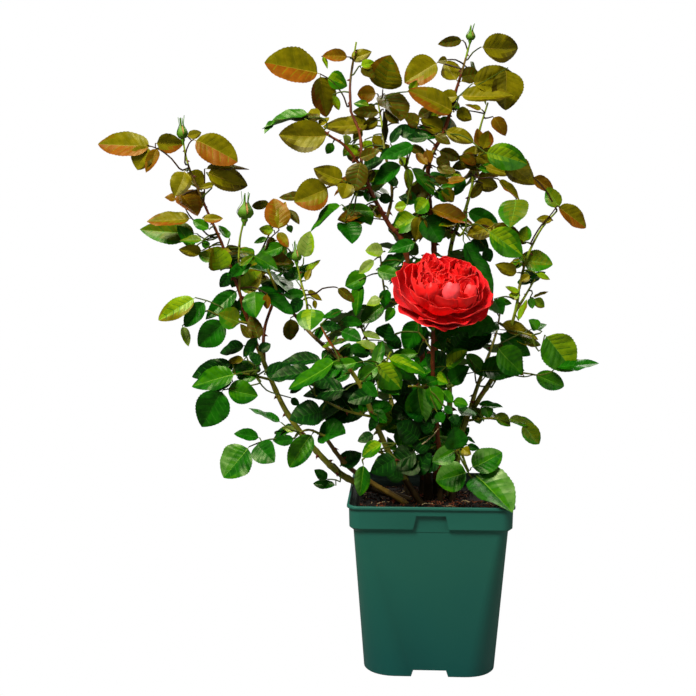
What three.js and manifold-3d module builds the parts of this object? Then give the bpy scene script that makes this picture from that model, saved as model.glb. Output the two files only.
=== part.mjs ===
// A double red rose bush in a square nursery pot. Millimetres, +Z up, the viewer looks along +Y.
// The origin is the middle of the flat underside of the pot.
import * as THREE from 'three';
import { mergeVertices } from 'three/addons/utils/BufferGeometryUtils.js';
import Module from 'manifold-3d';

const wasm = await Module();
wasm.setup();

// Driving dimensions of the pot
const POT_LIP = 190;            // across the lip
const POT_HEIGHT = 203;
const POT_COLLAR = 184.5;       // across the band under the lip
const POT_SHOULDER = 175.5;     // across the body where the band begins
const POT_BASE = 153;           // across the foot
const SHOULDER_HEIGHT = 172.5;
const COLLAR_HEIGHT = 177;      // top of the slope from the body to the band
const LIP_THICKNESS = 3.6;
const LIP_WALL = 3.2;
const WALL = 2.2;
const FLOOR_TOP = 10.5;
const LEDGE_LOW = 193;          // the wall thickens inwards below this height
const LEDGE_HIGH = 196;
const LIP_CORNER = 12;
const FOOT_CORNER = 36;
const CORNER_STEPS = 4;
const FOOT_NOTCH = { top: 37.6, bottom: 43.4, height: 8, depth: 30 };
const BAND_NOTCH = { top: 33, bottom: 43, high: 192.5, low: 171.5 };

// Soil, gaps and the flat cut of the canes
const GAP = 0.3;                // left between pieces that touch
const SOIL_TOP = 188;
const FOOT = SOIL_TOP + GAP;    // height at which every cane is cut flat

// Limbs and twigs
const LIMB_SIDES = 6;
const LIMB_STEPS = 7;
const TWIG_SIDES = 3;
const TWIG_STEPS = 3;
const TWIG_RADIUS = [3, 2.3];
const STALK_RADIUS = [1, 0.9];

// Leaves
const LEAF_ARCH = 0.1;          // rise of a stalk's middle, as a share of its reach
const TIP_LEAFLET = { base: 9, share: 0.48 };
const TIP_WIDTH = 0.72;         // widths and lifts are shares of the leaflet's length or width
const PAIR_WIDTH = 0.68;
const LEAFLET_FOLD = 0.12;
const LEAFLET_DROOP = 0.12;
const LEAFLET_FOOT = 1.8;       // stretch of stalk that a side leaflet grows from
const PAIR_ANGLE = 76;
const PAIR_PITCH = -4;
const PAIR_SIZES = [0.9, 0.7, 0.56];
const PAIR_GAPS = [0.12, 0.31, 0.42];       // from the end leaflet's foot back, in shares of the reach
const PAIR_REACHES = [34, 80, 125];         // least reach for one, two and three pairs
const CLEARANCE = 0.5;          // least room between a leaf and anything that isn't its own mass
const LEAF_SHIFTS = [[0, 0], [14, 0], [-14, 0], [0, 14], [0, -14], [26, 10], [-26, 10]];
const PITCH_SHIFTS = [0, 18, -18, 34];
const SPREAD = { face: 10, angle: 5, pitch: 7, size: 0.05 };   // how far chance moves a leaf either way
const GOLDEN_TURN = 137.5;
const BUD_PROFILE = [[0.12, 0.8], [0.4, 1], [0.75, 0.5], [1, 0.08]];    // shares of its length and radius

const COLOURS = {
  pot: 0x24503f, soil: 0x2a1d14, cane: 0x56592c, stub: 0x7a5a3a, bloom: 0xd4141a,
  deep: 0x1f5a22, mid: 0x356a24, bronze: 0x6d6a26,
};

// Limbs: name, first radius, last radius, and the few places that each one passes.
// A bough starts on the middle line of the limb named in from, at the share given there.
const CANES = [
  { name: 'cane_left', r: [5.2, 3.2],
    path: [[-24, 2, FOOT], [-93, -8, 214], [-132, -4, 245], [-172, -6, 298], [-206, -10, 378]] },
  { name: 'cane_left_low', r: [4.2, 2.6], path: [[-27, -16, FOOT], [-92, -34, 233], [-122, -56, 276]] },
  { name: 'cane_centre_left', r: [4.6, 2.8],
    path: [[-9, -19, FOOT], [-42, -32, 242], [-62, -41, 285], [-80, -45, 332], [-105, -48, 368]] },
  { name: 'cane_bloom', r: [3.8, 2.6],
    path: [[14, -9, FOOT], [10, -21, 258], [3, -36, 340], [2, -44, 400]] },
  { name: 'cane_right', r: [4.6, 2.5],
    path: [[27, 1, FOOT], [40, 8, 274], [58, 9, 309], [76, 5, 340], [84, 0, 376], [98, -2, 404]] },
  { name: 'cane_back_left', r: [4.6, 2.6],
    path: [[-7, 19, FOOT], [-6, 30, 331], [-28, 31, 482], [-50, 22, 520], [-70, 14, 556], [-83, 6, 592]] },
  { name: 'cane_tall', r: [4.9, 2.2],
    path: [[10, 24, FOOT], [7, 40, 391], [5, 40, 490], [-3, 30, 583], [16, 22, 630], [29, 20, 676]] },
  { name: 'cane_back_right', r: [4.4, 2.6],
    path: [[28, 19, FOOT], [24, 58, 400], [26, 60, 490], [45, 55, 540]] },
  { name: 'cane_rear_left', r: [4.2, 2.4], path: [[-24, 20, FOOT], [-44, 70, 290], [-72, 96, 362]] },
  { name: 'cane_rear_mid', r: [4.2, 2.4], path: [[-2, 37, FOOT], [4, 84, 300], [8, 108, 396]] },
  { name: 'cane_rear_right', r: [4.2, 2.4], path: [[21, 37, FOOT], [52, 78, 285], [78, 100, 356]] },
];
const BOUGHS = [
  { name: 'bough_left_fork', from: ['cane_left', 0.97], r: [2.9, 2],
    path: [[-217, -20, 414], [-224, -29, 444], [-243, -30, 498]] },
  { name: 'bough_left_inner', from: ['cane_left', 0.93], r: [2.6, 2],
    path: [[-198, 2, 392], [-190, 30, 426]] },
  { name: 'bough_thorny', from: ['cane_centre_left', 0.95], r: [2.9, 1.9],
    path: [[-138, -14, 388], [-168, 2, 420], [-182, 2, 440]] },
  { name: 'bough_upper_left', from: ['cane_back_left', 0.96], r: [2.3, 1.7],
    path: [[-101, 0, 610], [-118, -4, 621]] },
  { name: 'bough_top_left', from: ['cane_back_left', 0.98], r: [2.3, 1.8],
    path: [[-84, 14, 624], [-95, 20, 652]] },
  { name: 'bough_top_mid', from: ['cane_back_left', 0.62], r: [2.4, 1.8],
    path: [[-46, 40, 560], [-55, 42, 606]] },
  { name: 'bough_right_top', from: ['cane_back_right', 0.97], r: [2.4, 1.8],
    path: [[51, 51, 566], [53, 48, 588]] },
  { name: 'bough_right_shoot', from: ['cane_right', 0.97], r: [2.3, 1.8],
    path: [[101, -9, 426], [103, -10, 444]] },
];

// Masses of foliage: the limb that carries each, its stem's bow and tip, and its leaves. A leaf is
// [place along the stem, azimuth, rise, reach, turn of its face]; sown is how many the rule adds.
const MASSES = [
  { name: 'foliage_left_shoot', from: ['bough_left_fork', 1], tint: 'bronze', seed: 11,
    path: [[-262, -31, 541], [-280, -32, 586], [-286, -34, 618]], bud: [26, 5],
    leaves: [[0.7, 187, 16, 104, 20], [0.88, 345, -12, 66, 50], [0.52, 350, 20, 70, 10],
      [0.46, 322, -4, 64, 50], [0.4, 205, -14, 44, 60], [0.56, 238, 34, 42, 30], [0.14, 186, 9, 94, 40],
      [0.06, 205, -22, 50, 60], [0.03, 235, -55, 46, 50]], sown: 2 },
  { name: 'foliage_bud_shoot', from: ['bough_left_fork', 0.62], tint: 'mid', seed: 12,
    path: [[-221, -38, 494], [-214, -42, 526]], bud: [38, 8],
    leaves: [[0.5, 350, 38, 74, 40], [0.3, 322, 0, 58, 45], [0.25, 25, 20, 66, 30]], sown: 1 },
  { name: 'foliage_left_clump', from: ['bough_thorny', 1], tint: 'mid', seed: 13,
    path: [[-190, -8, 462], [-200, -10, 486]],
    leaves: [[0.2, 262, -24, 60, 60], [0.4, 305, 6, 60, 50], [0.55, 20, 12, 60, 40],
      [0.7, 205, -4, 62, 60], [0.85, 335, 24, 58, 50], [1, 140, 40, 56, 35]], sown: 2 },
  { name: 'foliage_green_shoot', from: ['bough_thorny', 0.42], tint: 'mid', seed: 14,
    path: [[-145, -14, 424], [-152, -16, 452], [-157, -16, 476]], bud: [14, 4],
    leaves: [[0.92, 330, 66, 44, 60], [0.8, 8, 50, 84, 20], [0.74, 350, 12, 44, 40],
      [0.4, 345, 4, 58, 15], [0.25, 305, -48, 46, 70], [0.6, 200, 20, 48, 40]], sown: 1 },
  { name: 'foliage_left_tip', from: ['bough_left_fork', 0.24], tint: 'deep', seed: 15,
    path: [[-240, -30, 410], [-258, -40, 419]],
    leaves: [[1, 186, -16, 60, 25], [0.85, 215, -58, 56, 60], [0.55, 60, 34, 50, 50],
      [0.12, 205, -34, 56, 60]], sown: 1 },
  { name: 'foliage_left_low', from: ['cane_left', 0.87], tint: 'deep', seed: 16,
    path: [[-222, -22, 344], [-240, -30, 340]],
    leaves: [[0.95, 192, 8, 56, 35], [0.8, 205, -14, 56, 50], [0.92, 225, -62, 64, 75],
      [0.45, 152, 36, 50, 50], [0.35, 315, -28, 52, 60], [0.6, 110, 5, 62, 20]], sown: 1 },
  { name: 'foliage_low_left', from: ['cane_left_low', 1], tint: 'deep', seed: 17,
    path: [[-138, -62, 284], [-150, -66, 282]],
    leaves: [[1, 184, -26, 104, 60], [0.45, 214, -48, 62, 65], [0.6, 172, 22, 82, 20],
      [0.8, 268, 10, 50, 50]], sown: 1 },
  { name: 'foliage_low_rim', from: ['cane_left', 0.29], tint: 'deep', seed: 18,
    path: [[-112, -26, 236], [-114, -40, 240]],
    leaves: [[0.6, 195, -16, 42, 40], [0.95, 10, 60, 48, 70]], sown: 0 },
  { name: 'foliage_centre_left', from: ['cane_centre_left', 0.56], tint: 'deep', seed: 19,
    path: [[-100, -52, 306], [-134, -46, 322]],
    leaves: [[1, 176, 12, 66, 45], [0.9, 204, -14, 66, 55], [0.75, 250, -12, 64, 60],
      [0.6, 150, 26, 70, 50], [0.5, 302, -36, 60, 60], [0.35, 212, -38, 62, 65]], sown: 2 },
  { name: 'foliage_red_shoot', from: ['cane_centre_left', 1], tint: 'mid', seed: 20,
    path: [[-118, -54, 388], [-126, -56, 404]],
    leaves: [[0.12, 192, -32, 72, 60], [0.3, 345, 8, 54, 45], [0.9, 150, 38, 56, 40],
      [0.95, 15, 34, 66, 50], [0.6, 250, 5, 52, 60]], sown: 1 },
  { name: 'foliage_centre', from: ['cane_centre_left', 0.78], tint: 'mid', seed: 21,
    path: [[-58, -56, 350], [-46, -62, 374]],
    leaves: [[1, 348, -8, 52, 55], [0.94, 330, -62, 54, 70], [0.9, 175, 22, 58, 45],
      [0.45, 15, 8, 64, 50], [0.35, 250, -24, 62, 65]], sown: 1 },
  { name: 'foliage_centre_front', from: ['cane_bloom', 0.6], tint: 'deep', seed: 22,
    path: [[-12, -58, 334], [-26, -70, 336]],
    leaves: [[1, 262, -62, 56, 75], [0.75, 318, -42, 52, 65], [0.85, 185, 6, 54, 50]], sown: 1 },
  { name: 'foliage_rim_left', from: ['cane_centre_left', 0.27], tint: 'deep', seed: 23,
    path: [[-64, -50, 258], [-78, -62, 250]],
    leaves: [[1, 240, -60, 50, 70], [0.75, 185, 26, 46, 50], [0.35, 285, -28, 56, 60]], sown: 0 },
  { name: 'foliage_left_of_bloom', from: ['cane_back_left', 0.32], tint: 'deep', seed: 24,
    path: [[-50, 10, 430], [-60, 0, 486]],
    leaves: [[1, 182, 8, 50, 40], [0.8, 188, -46, 74, 55], [0.7, 205, -18, 52, 45],
      [0.5, 195, -34, 66, 55], [0.36, 175, -4, 78, 50], [0.96, 340, 10, 50, 45], [0.6, 250, 10, 50, 50]],
    sown: 2 },
  { name: 'foliage_top_left', from: ['bough_upper_left', 1], tint: 'bronze', seed: 25,
    path: [[-136, -8, 634], [-147, -12, 640]],
    leaves: [[1, 184, -4, 58, 35], [0.6, 207, -18, 62, 60], [0.5, 160, 30, 52, 30],
      [0.15, 335, 14, 52, 45]], sown: 1 },
  { name: 'foliage_top_left_high', from: ['bough_top_left', 1], tint: 'bronze', seed: 26,
    path: [[-96, 24, 684], [-92, 28, 716], [-89, 29, 734]],
    leaves: [[0.28, 180, 24, 108, 45], [0.12, 207, -6, 56, 65], [0.45, 192, 4, 44, 50],
      [0.82, 186, 14, 44, 30], [0.85, 350, 6, 34, 30], [0.55, 346, 12, 64, 55], [0.65, 85, 20, 56, 30]],
    sown: 2 },
  { name: 'foliage_top_mid', from: ['bough_top_mid', 1], tint: 'mid', seed: 27,
    path: [[-58, 46, 636], [-63, 48, 664]],
    leaves: [[1, 320, 62, 56, 55], [0.8, 345, 8, 54, 50], [0.5, 184, 10, 74, 50],
      [0.4, 325, -16, 62, 60], [0.15, 205, -12, 64, 50]], sown: 3 },
  { name: 'foliage_upper_left_low', from: ['cane_back_left', 0.84], tint: 'bronze', seed: 28,
    path: [[-84, 2, 560], [-94, -2, 566]],
    leaves: [[0.85, 183, -4, 74, 50], [0.95, 200, 32, 52, 40], [0.5, 235, -30, 58, 60]], sown: 1 },
  { name: 'foliage_top', from: ['cane_tall', 1], tint: 'bronze', seed: 29,
    path: [[37, 16, 702], [44, 11, 728]], bud: [26, 4.5],
    leaves: [[0.92, 186, 12, 40, 40], [0.7, 352, 10, 66, 45], [0.4, 190, 10, 72, 50],
      [0.28, 345, 2, 84, 55], [0.08, 196, 30, 66, 50], [0.12, 310, -14, 58, 60], [0.55, 255, 14, 50, 55]],
    sown: 3 },
  { name: 'foliage_upper_centre', from: ['cane_tall', 0.7], tint: 'mid', seed: 30,
    path: [[-20, 14, 566], [-30, 4, 584]],
    leaves: [[0.95, 178, 24, 66, 50], [0.8, 240, 6, 58, 60], [0.6, 310, -16, 66, 60],
      [0.4, 215, -30, 64, 65], [0.98, 330, 30, 64, 50]], sown: 2 },
  { name: 'foliage_behind_bloom', from: ['cane_back_right', 0.78], tint: 'mid', seed: 31,
    path: [[36, 30, 506], [42, 16, 516]],
    leaves: [[0.6, 345, -46, 104, 60], [0.9, 200, 14, 60, 55], [0.95, 300, 24, 54, 50],
      [0.85, 345, 18, 60, 55]], sown: 1 },
  { name: 'foliage_top_right', from: ['bough_right_top', 1], tint: 'mid', seed: 32,
    path: [[58, 44, 628], [68, 40, 664]],
    leaves: [[1, 320, 20, 40, 40], [0.85, 346, -30, 46, 50], [0.72, 212, -18, 42, 50],
      [0.5, 346, -28, 80, 55], [0.36, 200, 4, 62, 55], [0.25, 335, 10, 84, 50], [0.1, 320, -22, 62, 60]],
    sown: 3 },
  { name: 'foliage_rear_top', from: ['bough_right_top', 0.35], tint: 'mid', seed: 33,
    path: [[66, 76, 584], [74, 92, 612]], leaves: [], sown: 6 },
  { name: 'foliage_right_shoot', from: ['bough_right_shoot', 1], tint: 'mid', seed: 34,
    path: [[111, -10, 478], [126, -16, 512], [144, -20, 534]],
    leaves: [[0.98, 350, -30, 46, 45], [0.95, 172, 54, 52, 55], [0.72, 190, 48, 52, 65],
      [0.46, 188, 12, 74, 60], [0.36, 352, 10, 46, 50], [0.3, 186, 4, 42, 45], [0.12, 345, 24, 36, 40]],
    sown: 2 },
  { name: 'foliage_right_sprig', from: ['bough_right_shoot', 0.3], tint: 'mid', seed: 35,
    path: [[112, 8, 434], [124, 14, 454]],
    leaves: [[1, 345, 26, 40, 50], [0.6, 200, 30, 30, 50], [0.7, 320, -22, 36, 50],
      [0.8, 90, 20, 44, 20]], sown: 0 },
  { name: 'foliage_right_mid', from: ['cane_right', 0.93], tint: 'deep', seed: 36,
    path: [[108, -14, 392], [118, -18, 390]],
    leaves: [[0.9, 350, -26, 84, 60], [0.3, 335, -52, 60, 75], [0.95, 320, 2, 56, 50],
      [0.4, 225, -34, 54, 55]], sown: 1 },
  { name: 'foliage_right_twig', from: ['cane_right', 0.6], tint: 'deep', seed: 37,
    path: [[96, -4, 345], [118, -13, 344]],
    leaves: [[1, 352, 14, 78, 15], [0.95, 335, -26, 50, 60], [0.5, 90, 10, 62, 20]], sown: 0 },
  { name: 'foliage_right_low', from: ['cane_right', 0.24], tint: 'deep', seed: 38,
    path: [[64, -8, 290], [80, -18, 292]],
    leaves: [[1, 350, -20, 64, 50], [0.6, 348, 24, 50, 40], [0.8, 320, -40, 46, 60],
      [0.35, 60, 15, 60, 20]], sown: 1 },
  { name: 'foliage_front_right', from: ['cane_right', 0.12], tint: 'deep', seed: 39,
    path: [[30, -30, 254], [34, -56, 262]],
    leaves: [[1, 314, -40, 102, 65], [0.9, 265, -4, 52, 60], [0.6, 195, -12, 56, 60],
      [0.7, 10, 20, 54, 50]], sown: 0 },
  { name: 'foliage_under_bloom', from: ['cane_bloom', 0.84], tint: 'deep', seed: 40,
    path: [[-6, -30, 384], [-14, -28, 394]],
    leaves: [[0.9, 212, -36, 56, 65], [0.8, 330, -40, 62, 60], [0.95, 120, 20, 60, 30]], sown: 1 },
  { name: 'foliage_core_left', from: ['cane_back_left', 0.16], tint: 'deep', seed: 45,
    path: [[-26, 8, 262], [-34, -4, 290]],
    leaves: [[0.9, 255, 8, 62, 60], [0.6, 290, -20, 60, 65]], sown: 3 },
  { name: 'foliage_core_right', from: ['cane_tall', 0.3], tint: 'deep', seed: 46,
    path: [[20, 10, 330], [26, -8, 350]],
    leaves: [[0.9, 285, 0, 60, 65], [0.7, 345, -28, 62, 60]], sown: 3 },
  { name: 'foliage_rear_upper', from: ['cane_back_left', 0.5], tint: 'mid', seed: 47,
    path: [[-40, 66, 500], [-52, 88, 524]], leaves: [], sown: 6 },
  { name: 'foliage_left_rear', from: ['bough_left_inner', 1], tint: 'mid', seed: 41,
    path: [[-192, 44, 446], [-202, 54, 470]], leaves: [], sown: 6 },
  { name: 'foliage_rear_left', from: ['cane_rear_left', 1], tint: 'deep', seed: 42,
    path: [[-86, 104, 392], [-92, 108, 420]], leaves: [], sown: 7 },
  { name: 'foliage_rear_mid', from: ['cane_rear_mid', 1], tint: 'deep', seed: 43,
    path: [[4, 116, 440], [-6, 112, 476]], leaves: [], sown: 8 },
  { name: 'foliage_rear_right', from: ['cane_rear_right', 1], tint: 'deep', seed: 44,
    path: [[88, 108, 384], [92, 108, 408]], leaves: [], sown: 6 },
];
const SOWN = { first: 0.12, last: 0.96, rise: [-12, 30], reach: [64, 88], turn: [15, 45] };
const REAR_FROM = 40;           // stems that end further back than this face away from the viewer

// The bloom: rings of [radius, height on its axis, petals, wave of the lips], from the calyx to the heart
const BLOOM = {
  centre: [12, -60, 441], axis: [0.16, -0.56, 0.81], sides: 18, calyx: [2.6, 8],
  rings: [[9, -27, 1, 0], [32, -25, 5, 1], [50, -14, 6, 2], [57, 0, 6, 4], [51, 5, 6, 2], [52, 15, 5, 3],
    [43, 16, 5, 1], [42, 25, 5, 3], [32, 24, 5, 1], [27, 31, 5, 2], [10, 27, 5, 0]],
};
// The pruned end of the rootstock
const STUB = { path: [[0, -1, FOOT], [-3, -4, 235]], r: [6.6, 5.2] };

const up = new THREE.Vector3(0, 0, 1);
const vector = (p) => new THREE.Vector3(...p);
const radians = THREE.MathUtils.degToRad;
const polar = (azimuth, rise) => new THREE.Vector3(
  Math.cos(radians(rise)) * Math.cos(radians(azimuth)),
  Math.cos(radians(rise)) * Math.sin(radians(azimuth)),
  Math.sin(radians(rise)),
);
const along = (start, ...steps) => steps.reduce((p, [v, k]) => p.addScaledVector(v, k), start.clone());
const blend = (a, shareA, b, shareB) => a.clone().multiplyScalar(shareA).addScaledVector(b, shareB);

// Numbers from 0 to 1 that are the same on every run
function seeded(seed) {
  let state = seed >>> 0;
  return () => {
    state = (state + 0x6d2b79f5) >>> 0;
    let t = state;
    t = Math.imul(t ^ (t >>> 15), t | 1);
    t ^= t + Math.imul(t ^ (t >>> 7), t | 61);
    return ((t ^ (t >>> 14)) >>> 0) / 4294967296;
  };
}

// Solids and meshes
function solidOf(points, faces) {
  const geometry = new THREE.BufferGeometry();
  const places = points.flatMap((p) => p.toArray());
  geometry.setAttribute('position', new THREE.Float32BufferAttribute(places, 3));
  geometry.setIndex(faces.flat());
  return solidFrom(geometry);
}

function solidFrom(geometry) {
  const bare = geometry.clone();
  bare.deleteAttribute('normal');
  bare.deleteAttribute('uv');
  const merged = mergeVertices(bare, 1e-4);
  return new wasm.Manifold(new wasm.Mesh({
    numProp: 3,
    vertProperties: new Float32Array(merged.attributes.position.array),
    triVerts: new Uint32Array(merged.index.array),
  }));
}

function geometryOf(solid) {
  const mesh = solid.getMesh();
  const geometry = new THREE.BufferGeometry();
  geometry.setAttribute('position', new THREE.BufferAttribute(mesh.vertProperties, 3));
  geometry.setIndex(new THREE.BufferAttribute(mesh.triVerts, 1));
  geometry.computeVertexNormals();
  return geometry;
}

// One body, with loose scraps dropped and sealed hollows filled
function oneBody(solid) {
  const bodies = solid.simplify(0.02).decompose().sort((a, b) => b.volume() - a.volume());
  return bodies[0];
}

// A solid skin over rings of equal length, closed by a flat cap at each end
function loft(rings) {
  const n = rings[0].length;
  const faces = [];
  for (let k = 0; k < rings.length - 1; k++) {
    for (let i = 0; i < n; i++) {
      const a = k * n + i;
      const b = k * n + (i + 1) % n;
      faces.push([a, b, b + n], [a, b + n, a + n]);
    }
  }
  const last = (rings.length - 1) * n;
  for (let i = 1; i < n - 1; i++) faces.push([0, i + 1, i], [last, last + i, last + i + 1]);
  return solidOf(rings.flat(), faces);
}

function centreLine(points) {
  return new THREE.CatmullRomCurve3(points, false, 'catmullrom', 0.5);
}

// A tapering tube. Its first ring lies flat when it stands on the soil, and spare lengthens both ends.
function tube(points, [r0, r1], sides, steps, { flatFoot = false, grow = 0, spare = 0 } = {}) {
  const curve = centreLine(points);
  const rings = [];
  let side = new THREE.Vector3(0.3, 1, 0.1).normalize();
  for (let k = 0; k <= steps; k++) {
    const t = k / steps;
    const heading = flatFoot && k === 0 ? up.clone() : curve.getTangent(t);
    side = along(side, [heading, -side.dot(heading)]).normalize();
    const other = new THREE.Vector3().crossVectors(heading, side);
    const centre = curve.getPoint(t);
    if (k === 0) centre.addScaledVector(heading, -spare);
    if (k === steps) centre.addScaledVector(heading, spare);
    const radius = THREE.MathUtils.lerp(r0, r1, t) + grow;
    rings.push(Array.from({ length: sides }, (_, i) => {
      const angle = (2 * Math.PI * i) / sides;
      return along(centre, [side, radius * Math.cos(angle)], [other, radius * Math.sin(angle)]);
    }));
  }
  return loft(rings);
}

// Things that a new leaf has to keep clear of
const obstacles = [];
const boxesMeet = (a, b) => [0, 1, 2].every((i) => a.min[i] <= b.max[i] && b.min[i] <= a.max[i]);

function addObstacle(list, solid, owner) {
  list.push({ solid, owner, box: solid.boundingBox() });
}

function isClear(solid, list, exempt = null) {
  const box = solid.boundingBox();
  return list.every((other) => other.owner === exempt || !boxesMeet(other.box, box)
    || solid.intersect(other.solid).isEmpty());
}

// Pot and soil
function roundedSquare(across, corner, z) {
  const ring = [];
  const half = across / 2 - corner;
  for (let quarter = 0; quarter < 4; quarter++) {
    const [sx, sy] = [[1, -1], [1, 1], [-1, 1], [-1, -1]][quarter];
    for (let k = 0; k <= CORNER_STEPS; k++) {
      const angle = radians(-90 + quarter * 90 + (90 * k) / CORNER_STEPS);
      const [x, y] = [sx * half + corner * Math.cos(angle), sy * half + corner * Math.sin(angle)];
      ring.push(new THREE.Vector3(x, y, z));
    }
  }
  return ring;
}

const bodyAcross = (z) => THREE.MathUtils.mapLinear(z, 0, SHOULDER_HEIGHT, POT_BASE, POT_SHOULDER);
const bodyCorner = (z) => THREE.MathUtils.mapLinear(z, 0, SHOULDER_HEIGHT, FOOT_CORNER, LIP_CORNER + 2);
const bore = (z, spare) => roundedSquare(bodyAcross(z) - 2 * (WALL + spare), bodyCorner(z) - WALL, z);

// A wedge with sloping ends, run into the wall on each of the four sides
function sideNotches({ top, bottom }, low, high, inner, outer) {
  return [0, 1, 2, 3].map((quarter) => {
    const corners = (y) => [[-bottom / 2, low], [bottom / 2, low], [top / 2, high], [-top / 2, high]]
      .map(([x, z]) => new THREE.Vector3(x, y, z).applyAxisAngle(up, quarter * Math.PI / 2));
    return loft([corners(-inner), corners(-outer)]);
  });
}

function makePot() {
  const lipUnder = POT_HEIGHT - LIP_THICKNESS;
  const mouth = POT_LIP - 2 * LIP_WALL;
  const rings = [
    roundedSquare(POT_BASE, FOOT_CORNER, 0),
    roundedSquare(POT_SHOULDER, LIP_CORNER + 2, SHOULDER_HEIGHT),
    roundedSquare(POT_COLLAR, LIP_CORNER + 1, COLLAR_HEIGHT),
    roundedSquare(POT_COLLAR + 1, LIP_CORNER + 1, lipUnder),
    roundedSquare(POT_LIP, LIP_CORNER, lipUnder + 0.01),
    roundedSquare(POT_LIP, LIP_CORNER, POT_HEIGHT),
    roundedSquare(mouth, LIP_CORNER - LIP_WALL, POT_HEIGHT),
    roundedSquare(mouth, LIP_CORNER - LIP_WALL, LEDGE_HIGH),
    bore(LEDGE_LOW, 0),
    bore(FLOOR_TOP, 0),
  ];
  const cutDepth = bodyAcross(BAND_NOTCH.low) / 2;
  const notches = [
    ...sideNotches(FOOT_NOTCH, -1, FOOT_NOTCH.height, POT_BASE / 2 - FOOT_NOTCH.depth, POT_BASE),
    ...sideNotches(BAND_NOTCH, BAND_NOTCH.low, BAND_NOTCH.high, cutDepth + 0.7, POT_LIP),
  ];
  return notches.reduce((pot, notch) => pot.subtract(notch), loft(rings));
}

function makeSoil() {
  return loft([bore(FLOOR_TOP + GAP, GAP), bore(SOIL_TOP, GAP)]);
}

// Limbs
const lines = {};       // middle line, radii and end stretch of every limb, by name

function makeLimb({ name, from, path, r }, onSoil) {
  const points = path.map(vector);
  if (from) points.unshift(centreLine(lines[from[0]].points).getPoint(from[1]));
  lines[name] = { points, r, onSoil };
  const limb = tube(points, r, LIMB_SIDES, LIMB_STEPS, { flatFoot: onSoil });
  return from ? cutClear(limb, from[0]) : limb;
}

// A limb or stem stops just clear of the limb that carries it
function cutClear(solid, carrier) {
  const { points, r, onSoil } = lines[carrier];
  const room = GAP / Math.cos(Math.PI / LIMB_SIDES);
  const fat = tube(points, r, LIMB_SIDES, LIMB_STEPS, { flatFoot: onSoil, grow: room, spare: GAP });
  return oneBody(solid.subtract(fat));
}

// Leaves
function stalkCurve(root, azimuth, rise, reach) {
  const heading = polar(azimuth, rise);
  return new THREE.QuadraticBezierCurve3(
    root,
    along(root, [heading, reach / 2], [up, reach * LEAF_ARCH]),
    along(root, [heading, reach]),
  );
}

// A place on a stalk: its normal is up, square to the heading, then turned towards the open side
function station(curve, t, turn, openSide) {
  const heading = curve.getTangent(t);
  const level = along(up, [heading, -up.dot(heading)]).normalize();
  const aside = new THREE.Vector3().crossVectors(level, heading);
  if (aside.y * openSide < 0) aside.negate();
  const normal = blend(level, Math.cos(radians(turn)), aside, Math.sin(radians(turn)));
  const left = new THREE.Vector3().crossVectors(normal, heading);
  return { at: curve.getPoint(t), heading, normal, left };
}

// The margin of a leaflet as pairs of points from its foot to its tip, folded up along the midrib
function leafletMargin({ at, heading, normal, left }, length, isTip, room = 0) {
  const width = length * (isTip ? TIP_WIDTH : PAIR_WIDTH) + 2 * room;
  const shares = isTip ? [[0.3, 0.47, 1], [0.68, 0.4, 0.4]] : [[0.46, 0.5, 1]];
  const edge = (sign) => shares.map(([share, half, lift]) => along(
    at, [heading, share * length], [left, sign * half * width], [normal, lift * LEAFLET_FOLD * width]));
  const tip = along(at, [heading, length + room], [normal, -LEAFLET_DROOP * length]);
  return { lefts: edge(1), rights: edge(-1), tip };
}

// The room that a leaflet needs: its outline as a plate, wider and thicker by the clearance
function leafletRoom(place, length, isTip) {
  const { lefts, rights, tip } = leafletMargin(place, length, isTip, CLEARANCE);
  const outline = [along(place.at, [place.heading, 2]), ...rights, tip, ...lefts.reverse()];
  const half = CLEARANCE + STALK_RADIUS[1] / 2;
  return loft([-half, half].map((step) => outline.map((p) => along(p, [place.normal, step]))));
}

// The side leaflets' places, each with the pitches that it may take, first choice first
function pairPlaces(curve, reach, tipLength, turn, wobble, openSide) {
  const count = PAIR_REACHES.filter((least) => reach >= least).length;
  return Array.from({ length: count }, (_, k) => {
    const step = 1 - tipLength / reach - PAIR_GAPS[k];
    const middle = station(curve, step, turn, openSide);
    return [1, -1].map((sign) => {
      const angle = radians(PAIR_ANGLE + SPREAD.angle * wobble[2 + k]);
      const out = blend(middle.heading, Math.cos(angle), middle.left, sign * Math.sin(angle));
      const options = PITCH_SHIFTS.map((shift) => {
        const pitch = radians(PAIR_PITCH + shift + SPREAD.pitch * sign * wobble[5]);
        const heading = blend(out, Math.cos(pitch), middle.normal, Math.sin(pitch));
        const normal = blend(middle.normal, Math.cos(pitch), out, -Math.sin(pitch));
        return { at: middle.at, heading, normal, left: new THREE.Vector3().crossVectors(normal, heading) };
      });
      const length = tipLength * PAIR_SIZES[k] * (1 + SPREAD.size * sign * wobble[6]);
      return { step, sign, options, length };
    });
  });
}

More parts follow.
